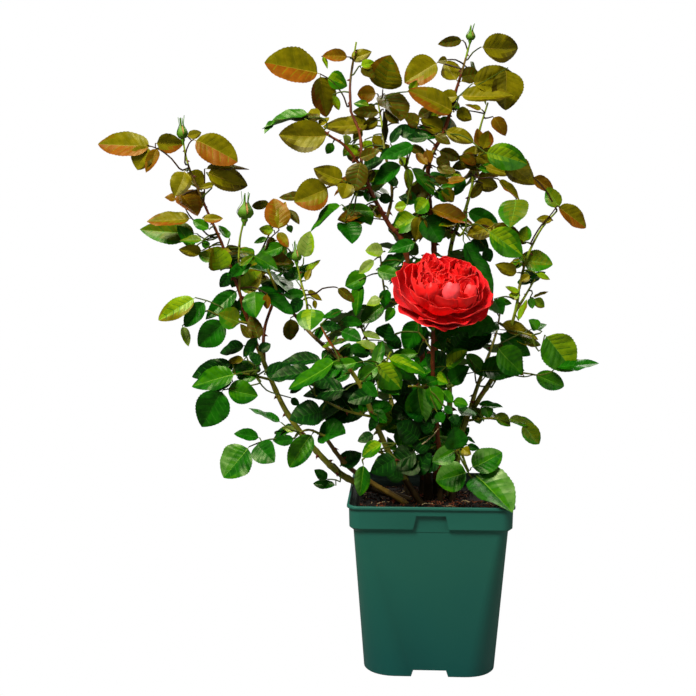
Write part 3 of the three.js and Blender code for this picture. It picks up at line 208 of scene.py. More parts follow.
# Leaves as they look from the front, read off in millimetres on the plane through the middle of the
# pot and then set to their depth: mass and depth, then for each leaf the places (x, z) that its stalk
# passes and its leaflets as (x and z of the base, x and z of the tip, width, tone), with the depth of the
# tip where that matters. A leaf of one leaflet that comes straight from the nearest stem has no brackets.
SEEN = [
    ("foliage_left_shoot", -35, [
        [(-295, 583), (-306, 596), (-319, 606), (-329, 610, -396, 615, 25, "half"),
         (-335, 612, -348, 583, 24, "olive"), (-322, 609, -337, 580, 12, "rust"),
         (-325, 614, -291, 613, 21, "bronze")],
        [(-290, 590), (-289, 603), (-284, 615), (-279, 618, -228, 592, 31, "half"),
         (-287, 622, -270, 627, 10, "olive")],
        [(-268, 548), (-267, 570), (-267, 584, -214, 586, 10, "umber")],
        [(-268, 553), (-257, 565), (-265, 580, -215, 565, 26, "olive"), (-255, 566, -274, 561, 6, "olive")],
        (-290, 582, -303, 552, 21, "olive"), (-288, 581, -270, 559, 22, "olive"),
        [(-262, 505), (-277, 520), (-288, 533), (-297, 557, -275, 530, 28, "rust"),
         (-283, 526, -337, 524, 15, "bronze")], (-301, 548, -315, 551, 9, "rust"),
        [(-262, 500), (-272, 504), (-277, 508, -347, 513, 24, "moss")], (-280, 492, -300, 518, 15, "green"),
        (-270, 526, -246, 526, 9, "bronze"), [(-240, 492), (-238, 502, -251, 518, 10, "green")],
        [(-247, 466), (-249, 464, -256, 492, 26, "lime")], (-236, 487, -270, 489, 11, "olive"),
        (-271, 488, -299, 489, 13, "olive"), (-262, 513, -282, 524, 11, "green"),
        (-270, 500, -298, 500, 9, "moss"), (-256, 477, -276, 485, 12, "moss"),
        (-263, 491, -271, 500, 9, "green"), (-245, 488, -224, 490, 11, "umber")]),
    ("foliage_bud_shoot", -32, [
        (-226, 479, -243, 467, 10, "dark"), (-236, 462, -250, 444, 13, "dark"),
        (-228, 462, -236, 444, 12, "deep"), (-212, 471, -243, 460, 14, "deep"),
        [(-226, 441), (-227, 441, -201, 463, 25, "lime")], (-213, 459, -194, 462, 8, "umber"),
        (-210, 482, -180, 466, 17, "green"), (-226, 470, -210, 482, 8, "moss")]),
    ("foliage_left_clump", -9, [
        [(-196, 488), (-190, 502), (-179, 512, -186, 550, 26, "rust"), (-180, 514, -171, 546, 13, "bronze"),
         (-185, 512, -203, 513, 11, "lime"), (-181, 510, -168, 492, 10, "bronze"),
         (-193, 503, -209, 497, 6, "green")], (-182, 500, -195, 495, 9, "olive"),
        [(-169, 537, -155, 519, 8, "umber"), (-190, 544, -212, 540, 9, "umber"),
         (-169, 518, -164, 509, 8, "green")], (-173, 494, -206, 482, 15, "green"),
        (-200, 482, -165, 474, 16, "umber"), (-170, 478, -159, 486, 9, "deep"),
        (-203, 449, -165, 443, 14, "dark"), (-150, 430, -168, 414, 14, "dark"),
        (-148, 436, -174, 436, 12, "deep"), (-206, 446, -162, 414, 14, "deep")]),
    ("foliage_green_shoot", -15, [
        [(-151, 470), (-150, 479, -143, 511, 19, "pale")],
        [(-92, 530), (-99, 537), (-105, 542, -144, 512, 11, "green")], (-148, 462, -131, 478, 8, "lime"),
        (-148, 452, -141, 467, 7, "olive"),
        [(-136, 437), (-128, 443), (-115, 445), (-110, 444, -90, 427, 10, "umber")],
        (-146, 441, -128, 429, 7, "olive"), (-138, 430, -136, 419, 5, "olive")]),
    ("foliage_left_tip", -35, [
        [(-246, 418), (-262, 427), (-280, 432, -325, 405, 20, "lime"), (-268, 427, -294, 397, 19, "deep")],
        (-296, 398, -289, 374, 9, "pale"), (-229, 441, -268, 406, 18, "deep"),
        [(-232, 398), (-244, 403, -277, 373, 28, "deep"), (-227, 402, -252, 413, 24, "moss")],
        (-208, 441, -209, 409, 26, "green"), (-194, 437, -195, 418, 9, "rust"),
        (-203, 382, -214, 412, 16, "umber"), (-204, 368, -190, 377, 11, "dark"),
        (-205, 385, -224, 361, 12, "dark"), (-202, 352, -216, 367, 10, "dark"),
        (-148, 331, -168, 318, 11, "dark"),
        [(-206, 334), (-195, 321), (-180, 316), (-166, 312, -156, 303, 8, "dark")],
        (-236, 331, -262, 322, 12, "deep"), (-213, 383, -226, 401, 10, "umber")]),
    ("foliage_left_low", -28, [
        [(-210, 350), (-218, 358), (-221, 375, -252, 367, 16, "dark"), (-222, 358, -242, 356, 9, "olive")],
        (-236, 354, -287, 338, 19, "dark"), [(-204, 345), (-222, 343), (-232, 340, -287, 326, 25, "green")],
        [(-208, 340), (-204, 340, -231, 336, 14, "green")],
        [(-203, 330), (-225, 325), (-248, 321, -274, 275, 37, "deep"), (-243, 323, -206, 314, 24, "green")],
        [(-196, 345), (-198, 340, -152, 345, 24, "dark")]]),
    ("foliage_low_left", -62, [
        [(-166, 273), (-172, 277), (-178, 282, -216, 301, 10, "deep")],
        [(-160, 268), (-162, 262, -187, 259, 12, "deep")],
        [(-165, 262), (-188, 262), (-203, 258), (-217, 252, -250, 215, 37, "sheen"),
         (-208, 256, -187, 234, 27, "deep"), (-204, 263, -235, 269, 13, "deep")],
        (-140, 269, -168, 227, 24, "green"), (-134, 268, -101, 270, 29, "deep"),
        (-160, 272, -178, 276, 7, "pale")]),
    ("foliage_low_rim", -36, [
        [(-106, 211), (-114, 213), (-122, 213, -138, 225, 12, "deep"), (-112, 206, -140, 208, 9, "deep")],
        (-107, 229, -81, 246, 19, "dark")]),
    ("foliage_centre_left", -48, [
        (-128, 297, -168, 288, 31, "dark"), (-70, 300, -135, 298, 36, "dark"),
        (-100, 322, -152, 316, 26, "dark"), (-128, 358, -178, 356, 13, "dark"),
        (-140, 345, -190, 338, 19, "dark"), (-108, 336, -146, 330, 18, "dark"),
        (-60, 316, -108, 322, 22, "dark"), (-96, 346, -122, 342, 12, "deep"),
        (-141, 420, -143, 394, 30, "bright"), (-166, 408, -165, 381, 18, "umber")]),
    ("foliage_red_shoot", -55, [
        (-95, 376, -76, 362, 13, "deep"), (-62, 372, -88, 380, 10, "pale"),
        (-70, 366, -94, 368, 13, "dark"), (-78, 352, -98, 362, 10, "deep"),
        (-72, 351, -86, 336, 10, "green"), [(-104, 402), (-108, 404, -80, 402, 12, "deep")],
        (-104, 417, -128, 408, 8, "deep"), (-130, 399, -106, 397, 12, "dark"),
        (-106, 392, -82, 382, 15, "deep")]),
    ("foliage_red_shoot", -88, [
        [(-108, 358), (-112, 357, -170, 323, 17, "green")], (-86, 355, -121, 352, 12, "green"),
        (-62, 318, -98, 308, 18, "dark"), (-80, 332, -62, 314, 13, "deep")]),
    ("foliage_left_of_bloom", -4, [
        [(-74, 458, -101, 446, 18, "green"), (-84, 453, -89, 410, 14, "green")],
        (-54, 424, -82, 403, 18, "green"), (-4, 400, -15, 362, 18, "dark"),
        (-58, 431, -76, 424, 12, "pale"), (-66, 477, -85, 461, 10, "pale"),
        (-64, 465, -36, 459, 16, "green"), (-50, 443, -56, 421, 13, "deep"),
        (-42, 421, -54, 404, 11, "green"), (-55, 383, -49, 402, 20, "dark"),
        (-80, 391, -59, 384, 8, "pale"), (-53, 382, -33, 375, 16, "dark"),
        (-14, 366, -44, 366, 12, "green"), (-128, 398, -136, 380, 9, "deep"),
        (-14, 407, -31, 368, 24, "deep"), [(-54, 487), (-55, 487, -77, 488, 15, "pale")],
        (-18, 497, -51, 487, 15, "deep"), (-35, 476, -61, 470, 11, "deep"),
        [(-101, 521, -92, 498, 24, "deep"), (-79, 529, -109, 524, 9, "rust")],
        (-68, 534, -105, 537, 14, "green"), (-84, 535, -70, 518, 18, "green")]),
    ("foliage_centre", -61, [
        [(-72, 340), (-65, 350, -56, 381, 13, "green")], [(-70, 345), (-64, 353, -34, 323, 28, "bright")],
        [(-58, 356), (-50, 361, -4, 344, 15, "bright")], (-62, 350, -84, 334, 15, "green"),
        (-43, 352, -17, 336, 16, "deep"), [(-40, 257), (-56, 258, -81, 241, 15, "bright")],
        (-66, 268, -86, 260, 12, "dark"), [(-80, 236), (-79, 232, -83, 193, 17, "sheen", -72)],
        (-40, 240, -70, 222, 24, "dark"), (-62, 292, -72, 272, 11, "dark")]),
    # These dark leaves fill the shaded middle of the crown; their near-black colour is painted shade
    ("foliage_centre_front", -30, [
        (-14, 246, -48, 232, 26, "dark"), (-20, 222, 2, 246, 22, "dark"), (-12, 262, -38, 282, 26, "dark"),
        (2, 252, -22, 264, 22, "dark"), (-4, 292, -30, 300, 24, "dark"), (-18, 318, -48, 322, 24, "dark"),
        (4, 272, -14, 290, 18, "dark"), (12, 240, -8, 224, 16, "dark"), (-30, 214, -54, 226, 15, "dark"),
        (-12, 236, -34, 222, 20, "dark"), (-24, 306, -44, 288, 20, "dark"), (6, 252, -8, 240, 14, "dark"),
        (14, 300, 4, 282, 13, "dark"), (20, 350, -4, 366, 22, "dark"), (28, 372, 44, 392, 20, "dark"),
        (24, 330, 46, 352, 20, "deep")]),
    ("foliage_centre_front", -58, [
        [(-14, 334), (-14, 328, -8, 281, 29, "sheen"), (-1, 328, 13, 299, 19, "green")],
        (15, 322, 28, 308, 12, "green"), (27, 309, 46, 305, 12, "green"), (17, 303, 28, 295, 9, "deep"),
        (27, 294, 33, 281, 12, "dark"), (9, 296, 16, 283, 12, "deep")]),
    ("foliage_front_right", -62, [
        [(44, 232), (31, 250, 30, 278, 25, "deep"), (31, 250, 4, 236, 20, "sheen")],
        [(47, 226), (46, 224, 8, 212, 31, "sheen")], [(47, 226), (50, 229, 87, 249, 28, "sheen")],
        [(50, 218), (54, 221, 101, 180, 43, "sheen", -104)], (39, 252, 50, 245, 11, "olive"),
        (45, 257, 60, 251, 8, "deep"), (44, 267, 55, 259, 4, "dark")]),
    ("foliage_right_low", -16, [
        [(54, 303), (57, 306, 87, 304, 8, "deep")], [(60, 300), (67, 306, 71, 289, 13, "green")],
        (54, 303, 60, 282, 13, "moss"),
        [(52, 298), (64, 290), (76, 288), (110, 283, 131, 258, 18, "moss"), (93, 288, 126, 281, 11, "moss"),
         (77, 294, 97, 280, 13, "moss")], [(56, 330), (52, 350), (42, 367, 67, 340, 16, "green")],
        (19, 325, 43, 345, 11, "pale")]),
    ("foliage_right_twig", -14, [
        [(73, 326), (81, 338), (96, 341), (112, 339), (124, 342, 159, 328, 20, "green"),
         (111, 341, 101, 348, 6, "olive")], [(124, 376), (130, 370), (135, 389, 170, 346, 39, "twin")],
        [(132, 392), (127, 395, 116, 407, 13, "green")]]),
    ("foliage_right_twig", -34, [
        [(128, 341), (142, 344), (148, 350, 199, 358, 11, "deep")]]),
    ("foliage_right_mid", -18, [
        (81, 390, 119, 364, 18, "deep"),
        [(80, 403), (83, 403, 128, 384, 15, "olive"), (95, 389, 131, 377, 12, "lime")],
        (78, 404, 30, 394, 24, "deep"), (75, 391, 35, 371, 16, "dark"), (104, 406, 113, 431, 6, "lime"),
        [(75, 431, 86, 413, 16, "deep"), (78, 431, 96, 425, 8, "green")]]),
    ("foliage_right_mid", -44, [
        [(78, 376), (80, 374, 111, 343, 31, "green")]]),
    ("foliage_right_shoot", -18, [
        [(117, 497), (127, 515), (139, 529), (147, 540, 182, 515, 18, "half"),
         (142, 523, 123, 525, 9, "olive"), (150, 538, 134, 561, 17, "moss")],
        (118, 574, 143, 557, 14, "rust"), (62, 602, 112, 588, 27, "bright"),
        (84, 592, 121, 565, 27, "olive"),
        [(57, 572), (68, 573), (78, 571, 104, 547, 10, "bronze"), (99, 549, 92, 516, 30, "moss")],
        (67, 511, 108, 482, 29, "bright"), (68, 516, 112, 497, 17, "umber"),
        (76, 519, 42, 506, 21, "olive"), (108, 498, 112, 517, 14, "moss"),
        [(108, 470), (108, 478, 143, 472, 24, "moss")], (124, 461, 140, 454, 6, "lime"),
        (116, 459, 106, 452, 9, "olive"), (102, 462, 76, 472, 14, "olive"),
        [(104, 439, 88, 446, 6, "lime"), (105, 435, 92, 436, 9, "lime")]]),
    ("foliage_right_sprig", 8, [
        [(120, 440), (117, 433, 120, 420, 8, "green"), (121, 432, 135, 422, 11, "lime"),
         (120, 433, 138, 441, 4, "umber")]]),
    ("foliage_behind_bloom", 16, [
        (38, 500, 75, 430, 21, "deep"), (46, 500, 69, 490, 16, "dark"), (64, 492, 70, 474, 12, "dark"),
        (42, 533, 79, 520, 17, "deep"), [(-15, 528), (-2, 537, 51, 520, 18, "rust")],
        [(-14, 530), (-12, 529, -17, 500, 18, "olive"), (-7, 529, 12, 498, 28, "deep")]]),
    ("foliage_upper_centre", 8, [
        (-20, 611, -60, 597, 16, "deep"), (-34, 588, -70, 566, 19, "deep"),
        (-46, 604, -61, 597, 10, "dark"), (-14, 634, -33, 647, 14, "umber"),
        (-18, 622, -40, 632, 14, "dark"), (-2, 620, -30, 619, 10, "dark"), (-26, 609, -5, 600, 10, "umber"),
        (-4, 588, -18, 602, 9, "rust"), (40, 572, 27, 552, 11, "deep"), (4, 622, 22, 612, 10, "umber"),
        (-46, 548, -62, 550, 11, "dark"), (-84, 596, -60, 605, 13, "umber"),
        (-80, 586, -56, 595, 14, "dark"), (-66, 582, -78, 566, 12, "umber"),
        (-40, 562, -52, 580, 10, "dark"), (-48, 612, -35, 634, 10, "dark"),
        (-64, 592, -78, 600, 12, "umber"), (8, 604, 34, 594, 13, "umber"), (5, 596, 22, 582, 14, "umber"),
        (-6, 606, 0, 590, 10, "rust"), (-16, 545, -38, 552, 15, "deep"), (8, 556, 26, 548, 14, "green"),
        (40, 572, 16, 568, 8, "rust"), [(-28, 586, -36, 597, 9, "lime"), (-27, 585, -27, 560, 10, "lime")],
        (-24, 585, 5, 553, 11, "green"), (-2, 556, -30, 556, 23, "umber"),
        (-3, 548, -18, 532, 17, "bright"), (-28, 541, -43, 538, 11, "lime"),
        (-18, 528, -46, 512, 25, "bright"), (14, 573, 36, 576, 6, "lime"), (30, 565, 11, 562, 8, "green"),
        (12, 560, 27, 545, 13, "olive"), (5, 585, 29, 580, 10, "umber"), (4, 572, 21, 568, 9, "umber")]),
    ("foliage_top", 14, [
        [(41, 718), (38, 727), (35, 730, 7, 726, 11, "umber")],
        [(41, 708), (47, 716), (56, 722, 100, 720, 28, "olive")],
        [(30, 684), (29, 684, 15, 707, 20, "olive")],
        [(32, 684), (33, 688, 55, 692, 17, "umber"), (33, 683, 55, 687, 7, "olive")],
        (18, 708, 7, 707, 8, "umber"), [(9, 705), (7, 705, -32, 683, 29, "bronze")],
        [(27, 655), (32, 667, 94, 670, 20, "olive"), (46, 680, 96, 690, 27, "olive"),
         (85, 697, 86, 650, 31, "olive")],
        [(24, 655), (26, 648, -27, 674, 23, "bronze"), (31, 666, 8, 666, 14, "olive")],
        (-26, 672, -17, 685, 9, "lime"), [(26, 652), (28, 650, 47, 640, 15, "olive")],
        (1, 652, -16, 643, 12, "umber"), (13, 627, -13, 641, 18, "olive"), (10, 622, -25, 628, 14, "deep"),
        (-17, 630, -27, 645, 12, "bronze"), (16, 627, 49, 614, 16, "olive")]),
    ("foliage_top_right", 42, [
        [(61, 648), (58, 651, 39, 658, 6, "bronze")], [(63, 641), (71, 643, 86, 621, 15, "rust")],
        (56, 608, 54, 630, 14, "rust"), (60, 606, 66, 627, 15, "bronze"), (75, 604, 37, 603, 11, "olive"),
        (54, 583, 92, 584, 12, "green"), (52, 570, 78, 562, 17, "olive"), (60, 566, 46, 549, 10, "umber"),
        (60, 590, 30, 597, 12, "olive"), (36, 600, 52, 588, 13, "rust"), (50, 596, 78, 590, 12, "olive"),
        (62, 586, 92, 577, 11, "olive"), (44, 590, 24, 584, 11, "umber"), (33, 590, 62, 583, 10, "olive")]),
    ("foliage_top_mid", 44, [
        [(-58, 664), (-57, 674, -49, 713, 37, "rim")], [(-62, 668), (-64, 670, -87, 669, 17, "rust")],
        (-72, 655, -91, 660, 10, "bright"), [(-57, 668), (-55, 670, -36, 639, 31, "umber")],
        (-72, 636, -127, 634, 20, "olive"), (-60, 648, -92, 649, 12, "umber"),
        (-56, 652, -52, 612, 7, "umber"), (-38, 636, -54, 654, 14, "umber"),
        (-66, 658, -80, 646, 10, "olive"), (-62, 642, -82, 628, 12, "olive"),
        (-80, 628, -92, 618, 10, "olive"), (-92, 612, -103, 598, 10, "moss"),
        (-84, 606, -92, 590, 10, "olive"), (-68, 622, -58, 609, 11, "olive"),
        (-64, 606, -48, 610, 9, "olive"), (-90, 613, -91, 596, 12, "lime"),
        (-97, 603, -90, 591, 8, "olive"), (-78, 617, -72, 601, 12, "lime"), (-67, 617, -60, 605, 8, "rust"),
        (-95, 613, -103, 622, 10, "pale")]),
    ("foliage_top_left_high", 28, [
        [(-98, 655), (-103, 668), (-112, 680), (-121, 688), (-130, 693, -194, 708, 35, "half"),
         (-122, 689, -98, 679, 18, "bright"), (-130, 692, -122, 643, 27, "bronze")],
        [(-97, 712, -127, 714, 13, "rust"), (-127, 713, -121, 699, 5, "lime")],
        (-115, 669, -108, 651, 8, "lime"), (-95, 710, -70, 718, 13, "olive"),
        [(-91, 692), (-85, 701), (-83, 702, -66, 706, 10, "lime"), (-83, 700, -66, 689, 11, "umber")]]),
    ("foliage_top_left", -10, [
        [(-122, 634), (-131, 643), (-184, 640, -196, 625, 8, "green"), (-142, 648, -199, 633, 13, "green"),
         (-127, 641, -167, 643, 10, "umber")], (-120, 622, -179, 623, 33, "olive"),
        (-115, 614, -123, 601, 10, "green")]),
    ("foliage_upper_left_low", 0, [
        [(-97, 566), (-110, 567), (-120, 562, -161, 545, 34, "bronze")], (-146, 549, -179, 551, 8, "umber"),
        [(-99, 568), (-103, 570, -138, 584, 20, "olive"), (-98, 567, -104, 549, 18, "olive")],
        (-82, 592, -90, 558, 22, "umber")]),
]
# Where the sky shows through from the front: left, low, right and high edge of each window
SKY = [
    (-400, 538, -318, 579), (-340, 435, -268, 481), (-268, 440, -252, 458), (-262, 503, -228, 552),
    (-215, 556, -165, 680), (-165, 590, -95, 605), (-165, 522, -148, 538), (-132, 447, -110, 530),
    (-128, 418, -103, 440), (-90, 486, -60, 512), (-66, 504, -48, 522), (-82, 436, -62, 456),
    (-108, 461, -84, 484), (-190, 366, -132, 383), (-197, 383, -181, 412), (-262, 415, -246, 428),
    (-260, 378, -232, 392), (-238, 277, -192, 310), (-205, 283, -172, 330), (-138, 236, -106, 256),
    (-185, 190, -143, 224), (-300, 190, -255, 320), (52, 254, 110, 280), (90, 228, 170, 256),
    (88, 293, 124, 338), (78, 310, 120, 336), (80, 434, 99, 458), (74, 478, 88, 500), (136, 392, 200, 455),
    (104, 396, 122, 422), (79, 404, 90, 414), (113, 344, 130, 374), (160, 285, 200, 345),
    (108, 498, 133, 560), (53, 538, 78, 556), (105, 600, 200, 700), (2, 682, 13, 697), (-18, 684, 25, 691),
    (42, 700, 56, 716), (50, 640, 60, 661), (17, 602, 36, 614), (-22, 611, -4, 619), (-24, 594, -12, 603),
    (28, 540, 42, 562), (-44, 550, -31, 572), (-56, 529, -44, 545), (28, 501, 42, 512),
    (-120, 690, -98, 708), (-165, 652, -142, 680), (-93, 666, -86, 700), (-50, 624, -38, 634),
    (124, 500, 200, 512), (155, 545, 200, 600), (-240, 190, -175, 214), (-160, 515, -148, 536),
    (78, 552, 84, 566), (-318, 583, -262, 624), (-243, 494, -196, 530), (-168, 378, -140, 400),
    (12, 708, 36, 726), (-100, 716, -60, 745), (-14, 672, 28, 696), (40, 698, 110, 712),
    (-150, 440, -138, 455), (-18, 488, -3, 497), (8, 488, 18, 497), (28, 486, 36, 500),
    (-142, 442, -124, 452), (-50, 386, -28, 418), (-90, 428, -64, 456), (44, 348, 74, 373),
    (-78, 396, -62, 404), (53, 320, 72, 338), (78, 322, 120, 338), (22, 609, 38, 617), (58, 318, 72, 344),
    (63, 348, 76, 372), (40, 316, 50, 338), (24, 308, 58, 334), (-102, 258, -70, 296), (62, 606, 100, 652),
    (28, 626, 66, 660), (-180, 700, -125, 750), (-56, 700, -10, 740),
]
# Finer leaves on the masses' stems, by tint, and leaves straight from the canes inside the crown:
# limb, from and to which share of it, how many, tint
FINE = {"deep": 3, "mid": 3, "bronze": 2}
FINE_LEAF = {"rise": [0, 50], "reach": [26, 46], "turn": [20, 60]}
INNER = [
    ("cane_left", 0.45, 0.95, 3, "deep"), ("cane_centre_left", 0.25, 0.95, 8, "deep"),
    ("cane_bloom", 0.25, 0.9, 12, "deep"), ("cane_right", 0.1, 0.7, 4, "deep"),
    ("cane_back_left", 0.1, 0.55, 9, "deep"), ("cane_back_left", 0.55, 0.95, 4, "mid"),
    ("cane_tall", 0.1, 0.55, 10, "deep"), ("cane_tall", 0.55, 0.95, 5, "mid"),
    ("cane_back_right", 0.15, 0.6, 6, "deep"), ("cane_back_right", 0.6, 0.95, 3, "mid"),
    ("cane_rear_left", 0.3, 0.95, 4, "deep"), ("cane_rear_mid", 0.3, 0.95, 5, "deep"),
    ("cane_rear_right", 0.3, 0.95, 4, "deep"), ("bough_thorny", 0.1, 0.9, 2, "mid"),
    ("bough_top_mid", 0.2, 0.9, 2, "mid"),
]
INNER_LEAF = {"rise": [-15, 45], "reach": [44, 68], "turn": [20, 60]}
# Buds at the ends of stems: length, radius and how far back from the end they start
BUDS = {"foliage_left_shoot": (31, 5.6, 6), "foliage_bud_shoot": (37, 8.4, 6),
        "foliage_green_shoot": (28, 5.4, 4), "foliage_top": (22, 4.8, -1)}
BUD_PROFILE = [(-0.1, 0.2), (0, 0.3), (0.08, 0.5), (0.14, 0.46), (0.18, 0.74), (0.28, 1), (0.4, 0.94),
               (0.5, 0.62), (0.6, 0.3), (0.64, 0.06)]
RUSTY = "foliage_red_shoot"
# Looks of a young stem from its foot to its tip, by tint
STEM_LOOKS = {"deep": ["bark_green", "bark_green", "bark_green"],
              "mid": ["bark_green", "bark_shoot", "bark_shoot"],
              "bronze": ["bark_red", "bark_brown", "bark_shoot"]}
BLOOM_CENTRE, BLOOM_AXIS = (12, -60, 443), (0.16, -0.56, 0.81)
BLOOM_SCALE = 0.92              # of the outer petals, whose ruffles reach past their own radius
PETAL_THICKNESS = 0.4

# How the tints are dealt out: share of the sprays, then the colours from the midrib to the margin,
# the midrib and the underside
SPRAYS = {
    "deep": [(0.66, ("deep", "deep", "deep"), "rib_green", "under_green"),
             (0.26, ("green", "deep", "deep"), "rib_green", "under_green"),
             (0.08, ("lime", "green", "green"), "rib_green", "under_green")],
    "mid": [(0.3, ("deep", "deep", "green"), "rib_green", "under_green"),
            (0.34, ("moss", "green", "olive"), "rib_green", "under_green"),
            (0.16, ("lime", "lime", "green"), "rib_green", "under_lime"),
            (0.2, ("olive", "olive", "brown"), "rib_olive", "under_lime")],
    "bronze": [(0.44, ("olive", "olive", "olive"), "rib_olive", "under_lime"),
               (0.26, ("olive", "brown", "orange"), "rib_olive", "under_bronze"),
               (0.14, ("umber", "umber", "brown"), "rib_olive", "under_bronze"),
               (0.16, ("green", "olive", "brown"), "rib_olive", "under_lime")],
}

# Tones of the leaves that are placed one by one: inner, middle and outer colour, the share of the
# outer one that keeps to the lower half, midrib and underside
TONES = {
    # Painted shade: dark leaves are coloured near black for the shade inside the crown
    "dark": (("dark", "dark", "dark"), 0, "deep", "under_green"),
    "deep": (("deep", "deep", "deep"), 0, "vein_green", "under_green"),
    "green": (("green", "green", "deep"), 0.2, "rib_green", "under_green"),
    "bright": (("lime", "green", "green"), 0.2, "rib_green", "under_lime"),
    "lime": (("lime", "lime", "olive"), 0.2, "rib_green", "under_lime"),
    "moss": (("moss", "moss", "green"), 0.2, "rib_green", "under_lime"),
    "olive": (("olive", "olive", "umber"), 0.15, "rib_olive", "under_lime"),
    "bronze": (("olive", "olive", "orange"), 0.25, "rib_olive", "under_bronze"),
    "half": (("olive", "brown", "orange"), 0.62, "rib_olive", "under_bronze"),
    "rust": (("brown", "brown", "orange"), 0.15, "rib_olive", "under_bronze"),
    "umber": (("umber", "umber", "umber"), 0, "olive", "under_bronze"),
    "rim": (("olive", "olive", "brown"), -0.1, "olive", "under_lime"),
    # Painted sheen: the pale sheen colour keeps to the upper half of the blade, where the light falls
    "sheen": (("deep", "green", "sheen"), -0.35, "rib_green", "under_green"),
    "twin": (("lime", "lime", "green"), 1, "rib_green", "under_lime"),
    # Pale leaves: partly their own whitish green, partly painted sheen
    "pale": (("pale", "pale", "lime"), 0.2, "rib_green", "under_lime"),
}
BANDS = [0.5, 0.64, 0.86, 0.98]     # where a leaf goes over from one colour to the next


def unit(v):
    v = np.asarray(v, float)
    return v / np.linalg.norm(v)


def polar(azimuth, rise):
    a, r = math.radians(azimuth), math.radians(rise)
    return np.array([math.cos(r) * math.cos(a), math.cos(r) * math.sin(a), math.sin(r)])


def seeded(seed):
    """Numbers from 0 to 1 that are the same on every run, by the model's own rule."""
    mask = 0xFFFFFFFF
    state = seed & mask

    def draw():
        nonlocal state
        state = (state + 0x6D2B79F5) & mask
        t = state
        t = ((t ^ (t >> 15)) * (t | 1)) & mask
        t ^= (t + (t ^ (t >> 7)) * (t | 61)) & mask
        return (t ^ (t >> 14)) / 4294967296

    return draw


def ripple(points, wavelength, seed):
    """A smooth bumpy field over space, between about -1 and 1."""
    rng = np.random.default_rng(seed)
    waves = rng.normal(size=(6, 3))
    waves *= (TAU / wavelength * rng.uniform(0.7, 1.4, 6) / np.linalg.norm(waves, axis=1))[:, None]
    return np.sin(np.asarray(points) @ waves.T + rng.uniform(0, TAU, 6)).sum(-1) / 3.5


# Curves
class Line:
    """A smooth line through a few places: cubic, with a span of the same share from each to the next."""

    def __init__(self, places):
        p = np.array(places, float)
        self.stops = np.vstack([2 * p[0] - p[1], p, 2 * p[-1] - p[-2]])
        self.spans = len(p) - 1

    def point(self, t):
        along = min(max(t, 0.0), 1.0) * self.spans
        k = min(int(along), self.spans - 1)
        w = along - k
        before, a, b, after = self.stops[k:k + 4]
        t0, t1 = 0.5 * (b - before), 0.5 * (after - a)
        return a + w * t0 + w * w * (3 * (b - a) - 2 * t0 - t1) + w ** 3 * (2 * (a - b) + t0 + t1)

    def heading(self, t):
        return unit(self.point(min(t + 1e-4, 1)) - self.point(max(t - 1e-4, 0)))


class Stalk:
    """The stalk of a leaf: a quadratic curve that arches between its root and its end."""

    def __init__(self, root, azimuth, rise, reach):
        heading = polar(azimuth, rise)
        self.a = root
        self.b = root + heading * reach / 2 + UP * reach * LEAF_ARCH
        self.c = root + heading * reach

    def point(self, t):
        return (1 - t) ** 2 * self.a + 2 * t * (1 - t) * self.b + t * t * self.c

    def heading(self, t):
        return unit((1 - t) * (self.b - self.a) + t * (self.c - self.b))


# Meshes
class Pile:
    """The vertices, faces and face materials of pieces that become one mesh. Triangles end in -1."""

    def __init__(self):
        self.points, self.faces, self.kinds, self.size = [], [], [], 0

    def add(self, points, faces, kinds):
        faces = np.asarray(faces, int)
        self.points.append(np.asarray(points, float))
        self.faces.append(np.where(faces < 0, -1, faces + self.size))
        self.kinds.append(np.broadcast_to(np.asarray(kinds, object), len(faces)))
        self.size += len(points)

    def triangles(self):
        return sum(int((faces[:, 3] >= 0).sum()) + len(faces) for faces in self.faces)


def grid_faces(rows, columns, wrap=False):
    """Quads over a grid of vertices, row by row."""
    i, j = np.meshgrid(np.arange(rows - 1), np.arange(columns if wrap else columns - 1), indexing="ij")
    k = (j + 1) % columns
    return np.stack([i * columns + j, i * columns + k, (i + 1) * columns + k, (i + 1) * columns + j],
                    -1).reshape(-1, 4)


def fan(ring, flip=False):
    """Triangles that close a ring of vertex numbers."""
    rows = [[ring[0], ring[i], ring[i + 1], -1] for i in range(1, len(ring) - 1)]
    return [[a, c, b, d] for a, b, c, d in rows] if flip else rows


def skin(rings, columns):
    """The faces of a closed row of rings: round it, then its two ends."""
    last = (rings - 1) * columns
    return np.vstack([grid_faces(rings, columns, wrap=True), fan(list(range(columns)), flip=True),
                      fan(list(range(last, last + columns)))])


def tube(points, radii, sides):
    """A closed tube along points. radii holds one radius a point, or one for each side of it."""
    points = np.asarray(points, float)
    headings = np.gradient(points, axis=0)
    headings /= np.linalg.norm(headings, axis=1)[:, None]
    side = np.cross(headings[0], (0.31, 0.94, 0.05))
    across = []
    for heading in headings:
        side = unit(side - heading * side.dot(heading))
        across.append(side)
    across = np.array(across)
    other = np.cross(headings, across)
    angle = np.arange(sides) * TAU / sides
    spokes = across[:, None] * np.cos(angle)[:, None] + other[:, None] * np.sin(angle)[:, None]
    radii = np.asarray(radii, float)
    radii = np.broadcast_to(radii[:, None] if radii.ndim == 1 else radii, (len(points), sides))
    rings = points[:, None] + spokes * radii[..., None]
    return rings.reshape(-1, 3), skin(len(points), sides)


